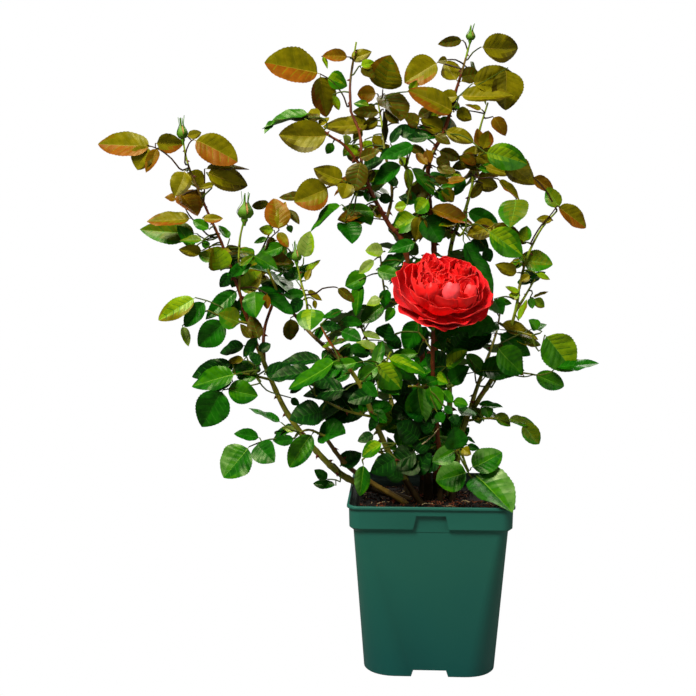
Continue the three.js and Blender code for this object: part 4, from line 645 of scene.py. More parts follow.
def make_piece(name, pile, nodes=(), sharp=50):
    """One mesh from a pile, riding on the part, with a material for each kind of face in it."""
    points = np.concatenate(pile.points) * MM
    faces = np.concatenate(pile.faces)
    kinds, numbers = np.unique(np.concatenate(pile.kinds).astype(str), return_inverse=True)
    loops = faces[faces >= 0]
    ends = np.cumsum((faces >= 0).sum(1))
    mesh = bpy.data.meshes.new(name)
    mesh.vertices.add(len(points))
    mesh.vertices.foreach_set("co", points.astype(np.float32).ravel())
    mesh.loops.add(len(loops))
    mesh.loops.foreach_set("vertex_index", loops.astype(np.int32))
    mesh.polygons.add(len(faces))
    mesh.polygons.foreach_set("loop_start", np.concatenate([[0], ends[:-1]]).astype(np.int32))
    mesh.polygons.foreach_set("material_index", numbers.astype(np.int32))
    for kind in kinds:
        mesh.materials.append(MATERIALS[kind])
    mesh.update(calc_edges=True)
    mesh.validate()
    mesh.shade_smooth()
    mesh.set_sharp_from_angle(angle=math.radians(sharp))
    piece = bpy.data.objects.new(name, mesh)
    bpy.context.scene.collection.objects.link(piece)
    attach(piece, "root")
    if nodes:
        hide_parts(*nodes)
    return piece


# Materials
def colour(red, green, blue):
    """A colour given as it shows on a screen, from 0 to 255, as Blender's linear values."""
    return tuple((c / 255 / 12.92 if c < 10.3 else ((c / 255 + 0.055) / 1.055) ** 2.4)
                 for c in (red, green, blue)) + (1,)


def set_ramp(ramp, places, colours):
    for stop, place, tint in zip(ramp.color_ramp.elements, places, colours):
        stop.position = place
        stop.color = tint


def add_noise(tree, vector, size, detail):
    """Noise with patches of this size in millimetres."""
    texture = tree.nodes.new("ShaderNodeTexNoise")
    texture.inputs["Scale"].default_value = 1 / (size * MM)
    texture.inputs["Detail"].default_value = detail
    tree.links.new(vector, texture.inputs["Vector"])
    return texture.outputs["Fac"]


def over_height(tree, place, mottle, rise):
    """A run from 0 at the foot of the piece to 1 at a height, with the mottling mixed in."""
    nodes, links = tree.nodes, tree.links
    height = nodes.new("ShaderNodeSeparateXYZ")
    share = nodes.new("ShaderNodeMath")
    both = nodes.new("ShaderNodeMath")
    share.operation, both.operation = "MULTIPLY", "MULTIPLY_ADD"
    share.inputs[1].default_value, both.inputs[1].default_value = 1 / (rise * MM), 0.3
    links.new(place, height.inputs[0])
    links.new(height.outputs["Z"], share.inputs[0])
    links.new(mottle, both.inputs[0])
    links.new(share.outputs[0], both.inputs[2])
    return both.outputs[0]


def surface(name, first, second, roughness, patch, relief, gloss=0.5, stretch=(1, 1, 1), rise=None,
            **sockets):
    """A mottled surface. patch and relief are (size in mm, strength), and relief is a bump. With rise,
    the two colours run from the foot of the piece to that height instead, with the patches mixed in."""
    material = bpy.data.materials.new(name)
    material.use_nodes = True
    tree = material.node_tree
    nodes, links = tree.nodes, tree.links
    shader = nodes["Principled BSDF"]
    place = nodes.new("ShaderNodeTexCoord")
    scale = nodes.new("ShaderNodeMapping")
    scale.inputs["Scale"].default_value = stretch
    links.new(place.outputs["Object"], scale.inputs["Vector"])
    stretched = scale.outputs["Vector"]
    ramp = nodes.new("ShaderNodeValToRGB")
    set_ramp(ramp, (0.5 - patch[1], 0.5 + patch[1]), (colour(*first), colour(*second)))
    mottle = add_noise(tree, stretched, patch[0], 3)
    # the run over height, used by the pot, is painted light from above
    if rise:
        mottle = over_height(tree, place.outputs["Object"], mottle, rise)
    links.new(mottle, ramp.inputs["Fac"])
    links.new(ramp.outputs["Color"], shader.inputs["Base Color"])
    bump = nodes.new("ShaderNodeBump")
    bump.inputs["Strength"].default_value = relief[1]
    bump.inputs["Distance"].default_value = relief[0] * MM / 3
    links.new(add_noise(tree, stretched, relief[0], 2), bump.inputs["Height"])
    links.new(bump.outputs["Normal"], shader.inputs["Normal"])
    worn = nodes.new("ShaderNodeMapRange")
    worn.inputs["To Min"].default_value = roughness[0]
    worn.inputs["To Max"].default_value = roughness[1]
    links.new(add_noise(tree, stretched, patch[0] * 0.6, 2), worn.inputs["Value"])
    links.new(worn.outputs["Result"], shader.inputs["Roughness"])
    shader.inputs["Specular IOR Level"].default_value = gloss
    for socket, value in sockets.items():
        shader.inputs[socket.replace("_", " ")].default_value = value
    return material


LEAF = {"patch": (8, 0.2), "relief": (1.1, 0.3), "Specular_Tint": (0.9, 1, 0.55, 1)}
WARM = {"patch": (8, 0.2), "relief": (1.1, 0.3), "gloss": 0.16, "Specular_Tint": (1, 0.95, 0.4, 1)}
DULL = {"patch": (9, 0.2), "relief": (1.1, 0.25), "gloss": 0.12}
BARK = {"patch": (7, 0.16), "relief": (1.6, 0.5), "stretch": (1, 1, 0.25), "gloss": 0.2}
PETAL = {"patch": (8, 0.22), "relief": (1.4, 0.3), "gloss": 0.25}
HEART = dict(PETAL, Sheen_Weight=0.12, Sheen_Tint=(1, 0.5, 0.55, 1))
SOIL = {"patch": (3, 0.14), "relief": (1, 0.8), "gloss": 0.2}
# Materials: darker and lighter colour of the mottling, least and most roughness, and the rest
LEAF_COLOURS = {
    # Painted shade: a near-black green for leaves that lie in the shade inside the crown
    "dark": ((1, 33, 3), (6, 56, 6), (0.32, 0.46), dict(LEAF, gloss=0.14)),
    "deep": ((3, 58, 0), (18, 90, 1), (0.27, 0.4), dict(LEAF, gloss=0.18)),
    "green": ((26, 85, 0), (50, 109, 0), (0.27, 0.4), dict(LEAF, gloss=0.17)),
    "moss": ((64, 84, 0), (92, 108, 2), (0.3, 0.46), dict(LEAF, gloss=0.18)),
    # Painted sheen: a pale green for light reflected off glossy blades
    "sheen": ((46, 94, 20), (76, 120, 44), (0.28, 0.42), dict(LEAF, gloss=0.3)),
    "lime": ((94, 130, 0), (124, 154, 6), (0.28, 0.42), dict(LEAF, gloss=0.22)),
    # A whitish green: partly the own colour of pale leaves, partly painted sheen on glossy ones
    "pale": ((98, 118, 40), (122, 140, 62), (0.3, 0.46), dict(LEAF, gloss=0.2)),
    "olive": ((86, 84, 0), (114, 106, 2), (0.32, 0.48), WARM),
    "brown": ((92, 64, 0), (116, 80, 2), (0.32, 0.48), WARM),
    "orange": ((106, 58, 2), (130, 73, 7), (0.32, 0.48), WARM),
    "umber": ((50, 44, 0), (72, 60, 2), (0.32, 0.48), WARM),
}
SURFACES = {
    **LEAF_COLOURS,
    "vein_green": ((22, 84, 8), (38, 100, 14), (0.35, 0.5), dict(LEAF, gloss=0.2)),
    "vein_olive": ((102, 98, 4), (118, 106, 8), (0.35, 0.5), WARM),
    "rib_green": ((80, 128, 20), (102, 144, 32), (0.45, 0.55), DULL),
    "rib_olive": ((122, 114, 14), (138, 112, 22), (0.45, 0.55), DULL),
    "under_green": ((70, 104, 40), (92, 122, 54), (0.55, 0.7), DULL),
    "under_lime": ((104, 120, 22), (124, 134, 36), (0.55, 0.7), DULL),
    "under_bronze": ((106, 74, 14), (126, 90, 24), (0.55, 0.7), DULL),
    "bark_green": ((78, 88, 16), (118, 112, 26), (0.4, 0.6), BARK),
    "bark_brown": ((74, 56, 18), (110, 88, 28), (0.5, 0.7), BARK),
    "bark_red": ((76, 30, 8), (112, 56, 14), (0.35, 0.55), BARK),
    "bark_shoot": ((110, 136, 24), (146, 156, 40), (0.35, 0.55), BARK),
    # Older bark at the foot of the canes and on the stub, darkened further as painted shade under the crown
    "bark_base_and_shade": ((34, 26, 8), (60, 44, 16), (0.6, 0.8), BARK),
    "bark_rust": ((120, 56, 12), (152, 84, 26), (0.4, 0.6), BARK),
    "stalk_brown": ((34, 20, 4), (56, 34, 10), (0.5, 0.65), DULL),
    "stalk_green": ((48, 62, 8), (74, 88, 18), (0.5, 0.65), DULL),
    "thorn": ((74, 28, 20), (110, 56, 38), (0.4, 0.6), DULL),
    "dry": ((150, 128, 88), (176, 156, 116), (0.7, 0.9), BARK),
    "cut": ((196, 176, 134), (220, 204, 166), (0.7, 0.9), BARK),
    "bud": ((60, 104, 16), (88, 130, 30), (0.4, 0.55), dict(LEAF, gloss=0.2)),
    "bud_tip": ((172, 120, 62), (196, 156, 96), (0.45, 0.6), WARM),
    "petal": ((236, 14, 16), (248, 30, 26), (0.42, 0.6),
              dict(PETAL, patch=(14, 0.22), Sheen_Weight=0.12, Sheen_Tint=(1, 0.3, 0.3, 1))),
    "petal_back": ((208, 8, 18), (230, 20, 26), (0.45, 0.62),
                   dict(PETAL, patch=(14, 0.22), Sheen_Weight=0.15, Sheen_Tint=(1, 0.25, 0.3, 1))),
    "petal_heart": ((242, 40, 42), (248, 66, 66), (0.45, 0.6), HEART),
    "petal_pink": ((236, 50, 57), (246, 84, 89), (0.45, 0.6), HEART),
    # Painted highlight: the petals' rim faces are lighter than their sides, for light caught on the lips
    "petal_edge": ((248, 48, 44), (250, 62, 54), (0.5, 0.65), dict(PETAL, relief=(1.4, 0.2))),
    "soil_dark": ((9, 6, 5), (24, 16, 11), (0.8, 1), dict(SOIL, relief=(1.2, 0.9))),
    "soil_brown": ((36, 21, 13), (62, 37, 22), (0.8, 1), SOIL),
    "soil_red": ((84, 40, 20), (120, 62, 32), (0.8, 1), SOIL),
    # Painted light: the pot's colour runs from darker at its foot to lighter at its top, as light from
    # above falls on it
    "pot": ((4, 77, 73), (22, 86, 73), (0.42, 0.55),
            {"patch": (60, 0.35), "relief": (0.7, 0.25), "gloss": 0.3, "rise": 200}),
    # Painted shade: the inside of the pot is coloured far darker than its outside, for the shade that falls
    # in it
    "pot_inside_painted_shade": ((2, 26, 22), (8, 38, 30), (0.7, 0.9), {"patch": (20, 0.35), "relief": (0.7, 0.4)}),
    "floor": ((120, 120, 120), (122, 122, 122), (0.7, 0.8),
              {"patch": (400, 0.4), "relief": (3, 0.02), "gloss": 0.2}),
}
MATERIALS = {name: surface(name, *row[:3], **row[3]) for name, row in SURFACES.items()}


# Pot
def rounded_profile(corners):
    """A profile of (half width, height, rounding) with an arc at each rounded corner."""
    places = []
    for i, (half, z, radius) in enumerate(corners):
        here = np.array([half, z], float)
        if not radius:
            places.append(here)
            continue
        before = np.array(corners[i - 1][:2], float) - here
        after = np.array(corners[i + 1][:2], float) - here
        cut = radius / math.tan(math.acos(unit(before).dot(unit(after))) / 2)
        a, b = here + unit(before) * cut, here + unit(after) * cut
        for t in (0, 0.25, 0.5, 0.75, 1):
            places.append((1 - t) ** 2 * a + 2 * t * (1 - t) * here + t * t * b)
    return places


def square_ring(half, corner, z, steps=9):
    """A level square with round corners."""
    ring = []
    for quarter, (sx, sy) in enumerate([(1, -1), (1, 1), (-1, 1), (-1, -1)]):
        for k in range(steps + 1):
            angle = math.radians(-90 + quarter * 90 + 90 * k / steps)
            ring.append([sx * (half - corner) + corner * math.cos(angle),
                         sy * (half - corner) + corner * math.sin(angle), z])
    return ring


def body_half(z):
    return (POT_BASE + (POT_SHOULDER - POT_BASE) * z / SHOULDER_HEIGHT) / 2


def body_corner(z):
    return FOOT_CORNER + (LIP_CORNER + 2 - FOOT_CORNER) * min(z / SHOULDER_HEIGHT, 1)


def loft(pile, rings, kind):
    """A closed solid through rings of as many places. kind holds one material, or one a step."""
    columns = len(rings[0])
    if not isinstance(kind, str):
        counts = [columns] * (len(rings) - 1) + [columns - 2] * 2
        kind = np.repeat([*kind, kind[0], kind[-1]], counts)
    pile.add(np.array(rings, float).reshape(-1, 3), skin(len(rings), columns), kind)


def wedge(pile, notch, near, far):
    """A wedge with sloping ends through each of the four sides."""
    for quarter in range(4):
        turn = np.array([[0, -1], [1, 0]])
        rings = []
        for y in (-near, -far):
            corners = [(-notch["bottom"] / 2, notch["low"]), (notch["bottom"] / 2, notch["low"]),
                       (notch["top"] / 2, notch["high"]), (-notch["top"] / 2, notch["high"])]
            rings.append([[*(np.linalg.matrix_power(turn, quarter) @ [x, y]), z] for x, z in corners])
        loft(pile, rings, "pot")


def make_pot():
    under = POT_HEIGHT - LIP_THICKNESS
    outside = rounded_profile([
        (POT_BASE / 2 - 3, 0, 0), (POT_BASE / 2, 0, 1.2), (POT_SHOULDER / 2, SHOULDER_HEIGHT, 1.5),
        (POT_COLLAR / 2, COLLAR_HEIGHT, 1.4), (POT_COLLAR / 2 + 0.5, under, 0.3),
        (POT_LIP / 2, under, 1), (POT_LIP / 2, POT_HEIGHT, 1.2), (POT_LIP / 2 - LIP_WALL, POT_HEIGHT, 0.8),
        (POT_LIP / 2 - LIP_WALL, LEDGE_HIGH, 0.5), (body_half(LEDGE_LOW) - WALL, LEDGE_LOW, 0.5),
        (body_half(FLOOR_TOP) - WALL, FLOOR_TOP, 1), (body_half(FLOOR_TOP) - WALL - 3, FLOOR_TOP, 0)])
    brim = max(k for k, (_, z) in enumerate(outside) if z > POT_HEIGHT - 0.01)
    pile = Pile()
    # the faces from under the brim down to the floor take the inside colour, which is painted shade
    loft(pile, [square_ring(half, min(body_corner(z), half) - (WALL if half < body_half(z) - 1 else 0), z)
                for half, z in outside], ["pot"] * brim + ["pot_inside_painted_shade"] * (len(outside) - 1 - brim))
    cut_notches(make_piece("pot_shell", pile, ["pot"]))


def cut_notches(shell):
    """Cuts the notches out of the shell and rounds its edges."""
    cutters = Pile()
    wedge(cutters, FOOT_NOTCH, POT_BASE / 2 - FOOT_NOTCH["depth"], POT_BASE)
    wedge(cutters, BAND_NOTCH, body_half(BAND_NOTCH["low"]) + 0.7, POT_LIP)
    cutter = make_piece("cutters", cutters)
    cut = shell.modifiers.new("notches", "BOOLEAN")
    cut.operation, cut.solver, cut.object = "DIFFERENCE", "EXACT", cutter
    edge = shell.modifiers.new("edges", "BEVEL")
    edge.width, edge.segments, edge.limit_method, edge.angle_limit = 0.4 * MM, 2, "ANGLE", math.radians(40)
    graph = bpy.context.evaluated_depsgraph_get()
    shell_mesh = bpy.data.meshes.new_from_object(shell.evaluated_get(graph))
    shell.modifiers.clear()
    shell.data = shell_mesh
    shell_mesh.shade_smooth()
    shell_mesh.set_sharp_from_angle(angle=math.radians(35))
    bpy.data.objects.remove(cutter)


# Soil
def soil_height(x, y):
    places = np.stack([x, y, np.zeros_like(x)], -1)
    mound = 4 * np.exp(-(x ** 2 + y ** 2) / 45 ** 2)
    return SOIL_RIM + mound + 1.6 * ripple(places, 38, 1) + 0.9 * ripple(places, 11, 2)


def bed_ring(z):
    """The edge of the bed at a height, just inside the pot's wall."""
    return np.array(square_ring(body_half(z) - WALL - SOIL_GAP, body_corner(z) - WALL, z, 24))


def make_bed():
    edge = bed_ring(SOIL_RIM)
    shares = np.linspace(0.02, 1, 44)
    x, y = shares[:, None] * edge[:, 0], shares[:, None] * edge[:, 1]
    z = soil_height(x, y) + 0.7 * ripple(np.stack([x, y, 0 * x], -1), 4, 3)
    tops = np.stack([x, y, z], -1)
    pile = Pile()
    loft(pile, [bed_ring(SOIL_FOOT), *tops[::-1]], "soil_dark")
    make_piece("soil_bed", pile, ["soil"], sharp=180)


def crumb():
    """The corners and faces of a lump with five sides."""
    def ring(radius, turn, z):
        angles = [(i + turn) * TAU / 5 for i in range(5)]
        return [[radius * math.cos(angle), radius * math.sin(angle), z] for angle in angles]

    sides = [(i, (i + 1) % 5) for i in range(5)]
    faces = [[0, 1 + i, 1 + k, -1] for i, k in sides]
    faces += [[1 + i, 6 + i, 1 + k, -1] for i, k in sides]
    faces += [[6 + i, 6 + k, 1 + k, -1] for i, k in sides]
    return np.array([[0, 0, 1], *ring(1, 0, 0.3), *ring(0.8, 0.5, -0.6)]), faces + fan([10, 9, 8, 7, 6])


def make_crumbs(reach, rng):
    """Crumbs of bark and soil, with more red ones towards the front."""
    corners, faces = crumb()
    pile = Pile()
    for _ in range(CRUMBS):
        x, y = rng.uniform(-reach, reach, 2)
        size = rng.uniform(0.6, 1.5) * (1.5 if rng.random() < 0.12 else 1)
        spin = np.linalg.qr(rng.normal(size=(3, 3)))[0]
        shape = corners * rng.uniform(0.7, 1.3, (len(corners), 1)) * size * [1, 0.8, 0.6] @ spin
        near_front = max(0.0, -y / reach)
        kind = rng.choice(["soil_dark", "soil_brown", "soil_red"],
                          p=[0.62 - 0.3 * near_front, 0.3 + 0.06 * near_front, 0.08 + 0.24 * near_front])
        z = soil_height(np.array(x), np.array(y)) + 0.3 * size
        pile.add(shape + [x, y, z], faces, kind)
    make_piece("soil_crumbs", pile, sharp=30)


def make_fibres(reach, rng):
    """Root fibres that wander over the bed."""
    pile = Pile()
    for _ in range(FIBRES):
        x, y = rng.uniform(-reach, reach, 2)
        length = rng.uniform(6, 22)
        turn = rng.uniform(0, TAU) + np.cumsum(rng.normal(0, 0.35, 6))
        path = np.cumsum(np.stack([np.cos(turn), np.sin(turn), 0 * turn], -1) * length / 6, 0)
        path[:, :2] = np.clip(path[:, :2] + [x, y], -reach, reach)
        arch = rng.uniform(0, 1.6) * np.sin(np.linspace(0, math.pi, 6))
        path[:, 2] = soil_height(path[:, 0], path[:, 1]) + 0.6 + arch
        kind = rng.choice(["soil_red", "dry", "soil_brown"], p=[0.4, 0.25, 0.35])
        pile.add(*tube(path, rng.uniform(0.2, 0.55), 4), kind)
    make_piece("soil_fibres", pile)


def make_soil():
    make_bed()
    rng = np.random.default_rng(SEEDS["soil"])
    reach = body_half(SOIL_RIM) - WALL - 4
    make_crumbs(reach, rng)
    make_fibres(reach, rng)


# Limbs
lines = {}                      # by the names of the limbs and, later, of the masses


def limb_path(line, step):
    """Places along a line at about this step, and its length."""
    chords = [line.point(t) for t in np.linspace(0, 1, CHORDS)]
    length = sum(np.linalg.norm(b - a) for a, b in zip(chords, chords[1:]))
    return np.array([line.point(t) for t in np.linspace(0, 1, max(4, int(length / step)))]), length


def bark_radii(path, length, radii, sides, seed, sunk):
    """Radii of a limb with low ribs and a swelling at each node."""
    rng = np.random.default_rng(seed)
    along = np.linspace(0, length, len(path))
    radius = np.interp(along, [0, length], radii)
    for node in np.arange(rng.uniform(14, 26), length, 30):
        radius *= 1 + 0.16 * np.exp(-((along - node - rng.uniform(-5, 5)) / 2.6) ** 2)
    radius *= SLIM
    if sunk:
        radius *= 1 + 0.25 * np.exp(-along / 7)
    angle = np.arange(sides) * TAU / sides
    along = along[:, None]
    ribs = 1 + 0.05 * np.sin(3 * angle + along / 23) + 0.03 * np.sin(5 * angle - along / 9)
    return radius[:, None] * ribs


def thorn(pile, foot, out, heading, size):
    """A broad-footed prickle that hooks down the stem."""
    side = np.cross(heading, out)
    rings = []
    for share, reach, drop in [(1, -0.3, 0), (0.55, 0.35, 0.08), (0.24, 0.72, 0.24), (0.05, 1, 0.5)]:
        centre = foot + out * reach * size - heading * drop * size
        rings.append([centre + size * share * (0.55 * math.cos(a) * heading + 0.26 * math.sin(a) * side)
                      for a in np.arange(6) * TAU / 6])
    loft(pile, rings, "thorn")


def add_thorns(pile, path, radii, length, spacing, size, rng):
    headings = np.gradient(path, axis=0)
    for at in np.arange(rng.uniform(8, 20), length - 6, spacing):
        i = int((at + rng.uniform(-0.3, 0.3) * spacing) / length * (len(path) - 1))
        i = min(max(i, 1), len(path) - 2)
        heading = unit(headings[i])
        out = unit(np.cross(heading, rng.normal(size=3)))
        thorn(pile, path[i] + out * radii[i], out, heading, size * rng.uniform(0.7, 1.2))


def from_the_soil(path):
    """The same path, with a start deeper in the soil."""
    return np.vstack([path[0] - UP * SUNK, path])


def make_limbs(thorns):
    for number, (look, name, carrier, radii, places) in enumerate(LIMBS):
        if carrier:
            places = [lines[carrier[0]].point(carrier[1]), *places]
        lines[name] = Line(places)
        path, length = limb_path(lines[name], LIMB_STEP)
        if not carrier:
            path = from_the_soil(path)
        rows = bark_radii(path, length, radii, LIMB_SIDES, number, not carrier)
        points, faces = tube(path, rows, LIMB_SIDES)
        feet = points[faces[:, 0]]
        # the foot of a cane takes the dark base colour: older bark, darkened further as painted shade
        low = (feet[:, 2] < FOOT + BASE_BARK + 8 * ripple(feet, 30, 4)) & (not carrier)
        pile = Pile()
        pile.add(points, faces, np.where(low & (look in ("green", "red")), "bark_base_and_shade", "bark_" + look))
        make_piece(name + "_bark", pile, [name])
        add_thorns(thorns, path, np.linspace(*radii, len(path)), length, *LIMB_THORNS,
                   np.random.default_rng(SEEDS["thorns"] + number))


def make_stub():
    """The pruned stub, sawn off at a slant, and a dead twig beside it."""
    places, radii = STUB
    path, length = limb_path(Line(places), 2)
    path = from_the_soil(path)
    rows = bark_radii(path, length, radii, STUB_SIDES, SEEDS["stub"], True)
    points, faces = tube(path, rows, STUB_SIDES)
    points[:, 2] += np.where(points[:, 2] > places[1][2] - 3, 0.35 * (points[:, 0] + 3), 0)
    stub, twig = Pile(), Pile()
    # the stub's sides take the same dark base colour, partly painted shade
    stub.add(points, faces, np.where(faces[:, 3] < 0, "cut", "bark_base_and_shade"))
    make_piece("stub_wood", stub, ["graft_stub"], sharp=40)
    path, _ = limb_path(Line(DEAD_TWIG), 3)
    twig.add(*tube(path, np.linspace(1.1, 0.5, len(path)), 6), "dry")
    make_piece("dead_twig", twig)


# Leaves
def station(stalk, t, turn, open_side):
    """A place on a stalk: its normal is up, square to the heading, then turned to the open side."""
    heading = stalk.heading(t)
    level = unit(UP - heading * UP.dot(heading))
    aside = np.cross(level, heading)
    if aside[1] * open_side < 0:
        aside = -aside
    a = math.radians(turn)
    return stalk.point(t), heading, level * math.cos(a) + aside * math.sin(a)


def tip_of(place, length):
    at, heading, normal = place
    return at + heading * length - normal * DROOP * length


def pair_places(stalk, reach, tip_length, face, wobble, open_side):
    """The leaflets of the pairs: the length of each, and the places that it may take."""
    for k in range(sum(reach >= least for least in PAIR_REACHES)):
        step = 1 - tip_length / reach - PAIR_GAPS[k]
        at, heading, normal = station(stalk, step, face, open_side)
        left = np.cross(normal, heading)
        angle = math.radians(PAIR_ANGLE + SPREAD["angle"] * wobble[2 + k])
        for sign in (1, -1):
            out = heading * math.cos(angle) + left * sign * math.sin(angle)
            length = tip_length * PAIR_SIZES[k] * (1 + SPREAD["size"] * sign * wobble[6])
            options = []
            for shift in PITCH_SHIFTS:
                pitch = math.radians(PAIR_PITCH + shift + SPREAD["pitch"] * sign * wobble[5])
                options.append((at, out * math.cos(pitch) + normal * math.sin(pitch),
                                normal * math.cos(pitch) - out * math.sin(pitch)))
            yield length, options


def outline(u, shape):
    """Half the width of a leaflet along its length, as a share of the widest."""
    near, far = shape
    peak = near / (near + far)
    return u ** near * (1 - u) ** far / (peak ** near * (1 - peak) ** far)


def blade_rows(veins, spacing):
    """Where the rows of a blade lie along it, and its relief and margin at each: a vein has a strip
    of its own and ends in a tooth, and spacing gives the teeth from one vein to the next."""
    steps, sunk, tooth = [0.0, NECK], [1, 1], [0, 0]
    for vein in range(veins):
        gap = (1 - NECK) / veins
        for k in range(1, 2 * spacing):
            steps.append(NECK + gap * (vein + k / (2 * spacing)))
            sunk.append(-1 if 0.4 < k / (2 * spacing) < 0.6 or spacing == 1 else 0)
            tooth.append(-1 if k % 2 else 1)
        if vein < veins - 1:
            at = NECK + gap * (vein + 1)
            steps += [at - VEIN_WIDTH / 2, at + VEIN_WIDTH / 2]
            sunk += [1, 1]
            tooth += [1, 1]
    return np.array(steps + [1.0]), np.array(sunk + [1]), np.array(tooth + [0])


def between(first, second):
    """The name of the colour half way between two leaf colours, made when it is first asked for."""
    if first == second:
        return first
    name = "_".join(sorted((first, second)))
    if name not in MATERIALS:
        one, other = LEAF_COLOURS[first], LEAF_COLOURS[second]
        MATERIALS[name] = surface(name, *np.mean([one[:2], other[:2]], 0), other[2], **other[3])
    return name


def bands(colours):
    """The five colours of a blade from its midrib to its margin."""
    inner, middle, outer = colours
    return np.array([inner, between(inner, middle), middle, between(middle, outer), outer], object)


def blade_places(steps, u, sunk, half, length, bends, rng):
    """How far along, to the left and up the places on the upper side of a blade lie."""
    rib = np.minimum(0.011 * length * (1.1 - u) / half, 0.5)
    shares = np.array([0, 1 / 3, 2 / 3, 1])
    s = rib[:, None] + (1 - rib[:, None]) * shares
    s = np.hstack([-s[:, ::-1], s])
    depth = np.abs(s)
    arc = np.sin(math.pi * u)[:, None]
    x = length * (steps[:, None] - 0.2 * arc * (1 - depth) ** 1.2)
    y = s * half[:, None]
    fold = rng.uniform(0.1, 0.5) * (1 - 0.4 * u[:, None])
    inner = np.sin(math.pi * np.clip(depth, 0.12, 0.94))
    phases = rng.uniform(0, TAU), rng.uniform(0, TAU)
    sides = np.where(s < 0, *phases)
    bend = rng.uniform(*bends)
    z = (fold * np.abs(y) + 0.05 * half[:, None] * inner - bend * length * u[:, None] ** 2
         - 0.0055 * length * sunk[:, None] * np.minimum(arc, 0.8) * inner
         - 0.014 * length * arc * (depth < 0.3)
         + 0.03 * length * np.sin(TAU * 1.2 * u[:, None] + sides) * depth ** 2 * arc
         + 0.012 * length * np.sin(TAU * 2.9 * u[:, None] + 2 * sides) * depth ** 3 * arc)
    y = y + SWEEP * length * math.sin(phases[0]) * u[:, None] * (1 - u[:, None]) * 2
    twist = rng.uniform(-0.6, 0.6) * u[:, None]
    return x, y * np.cos(twist) - z * np.sin(twist), y * np.sin(twist) + z * np.cos(twist)


def blade_kinds(u, sunk, look, columns):
    """The materials of the faces on the upper side of a blade."""
    i, j = np.meshgrid(np.arange(len(u) - 1), np.arange(columns - 1), indexing="ij")
    middle = columns // 2 - 1
    out = j - middle
    flush = np.abs(out) / middle * 0.9 + look["flush"] + look["lean"] * np.sign(out)
    kinds = bands(look["colours"])[np.digitize(flush + look["along"] * (u[i] - 0.4), BANDS)]
    strip = (sunk[i] == 1) & (sunk[i + 1] == 1) & (i > 0) & (np.abs(out) < middle)
    kinds[strip] = look["vein"]
    kinds[out == 0] = look["rib"]
    return kinds.ravel()


def under_faces(rows, columns):
    """The faces from a blade's margins to the row of places under its midrib, and at its ends."""
    first, end = rows * columns, (rows - 1) * columns
    k = np.arange(rows - 1)
    margin = k * columns + columns - 1
    caps = [[first, c, c + 1, -1] for c in range(columns - 1)]
    caps += [[first + rows - 1, end + c + 1, end + c, -1] for c in range(columns - 1)]
    return np.vstack([np.stack([margin, margin + columns, first + k + 1, first + k], 1),
                      np.stack([first + k, first + k + 1, (k + 1) * columns, k * columns], 1), caps])


def leaflet(pile, place, length, width, look, rng, bends=RULE_BENDS, shape=RULE_SHAPE):
    """A toothed blade, quilted between its veins, with a sunk midrib and a plain underside."""
    at, heading, normal = place
    left = np.cross(normal, heading)
    veins, spacing = next(row[1:] for row in VEINS if length > row[0])
    steps, sunk, tooth = blade_rows(veins, spacing)
    u = np.clip((steps - NECK) / (1 - NECK), 0, 1)
    half = np.maximum(0.5 * width * outline(u, shape) * (1 + TOOTH * tooth), 0.45)
    half[-1] = 0.12
    x, y, z = blade_places(steps, u, sunk, half, length, bends, rng)
    top = at + heading * x[..., None] + left * y[..., None] + normal * z[..., None]
    rows, columns = x.shape
    middle = (top[:, columns // 2 - 1] + top[:, columns // 2]) / 2 - normal * 0.011 * length
    under = under_faces(rows, columns)
    pile.add(np.vstack([top.reshape(-1, 3), middle]),
             np.vstack([grid_faces(rows, columns)[:, [0, 3, 2, 1]], under]),
             np.concatenate([blade_kinds(u, sunk, look, columns), [look["under"]] * len(under)]))


def leaf_look(colours, rib, under, flush, lean, along):
    """The colours of a leaf's blades, and how these shift to one side and along it."""
    vein = "vein_olive" if rib == "rib_olive" else "vein_green"
    return {"colours": colours, "rib": rib, "vein": vein, "under": under, "flush": flush, "lean": lean,
            "along": along}


def spray_look(tint, rng):
    """The look of a leaf of the rule, dealt out by the shares of its tint."""
    shares = [row[0] for row in SPRAYS[tint]]
    _, colours, rib, under = SPRAYS[tint][rng.choice(len(shares), p=np.array(shares) / sum(shares))]
    return leaf_look(colours, rib, under, rng.uniform(-0.15, 0.25),
                     rng.choice([-1, 1]) * rng.uniform(0, 0.3), 0.35)


def in_sky(place, length):
    """Whether a leaflet stands where the sky shows through from the front."""
    at, heading, normal = place
    side = np.cross(normal, heading)
    for along, across in SKY_PROBES:
        x, z = flat_view(at + (heading * along + side * across) * length)
        if any(left < x < right and low < z < high for left, low, right, high in SKY):
            return True
    return False


def hides_a_leaf(place, length):
    """Whether a leaflet of the rule would stand in front of one that is placed one by one."""
    middle = place[0] + place[1] * length * 0.5
    x, z = flat_view(middle)
    reach = SEEN_REACH * PLACED[:, 3] + RULE_REACH * length
    near = np.hypot(PLACED[:, 0] - x, PLACED[:, 1] - z) < reach
    return bool(np.any(near & (middle[1] < PLACED[:, 2] + BEHIND)))


def has_no_room(place, length):
    return in_sky(place, length) or hides_a_leaf(place, length)


def flat_view(point):
    """Where a point looks to be, from the front, on the plane through the middle of the pot."""
    spot = EYE + (point - EYE) * EYE[1] / (EYE[1] - point[1])
    return spot[0], spot[2]


def seen(x, z, depth):
    """The place at this depth that looks from the front to be at x and z on the middle plane."""
    return EYE + (np.array([x, 0.0, z]) - EYE) * (1 - depth / EYE[1])


def nearest(points, spot):
    return points[np.argmin(np.linalg.norm(points - spot, axis=1))]


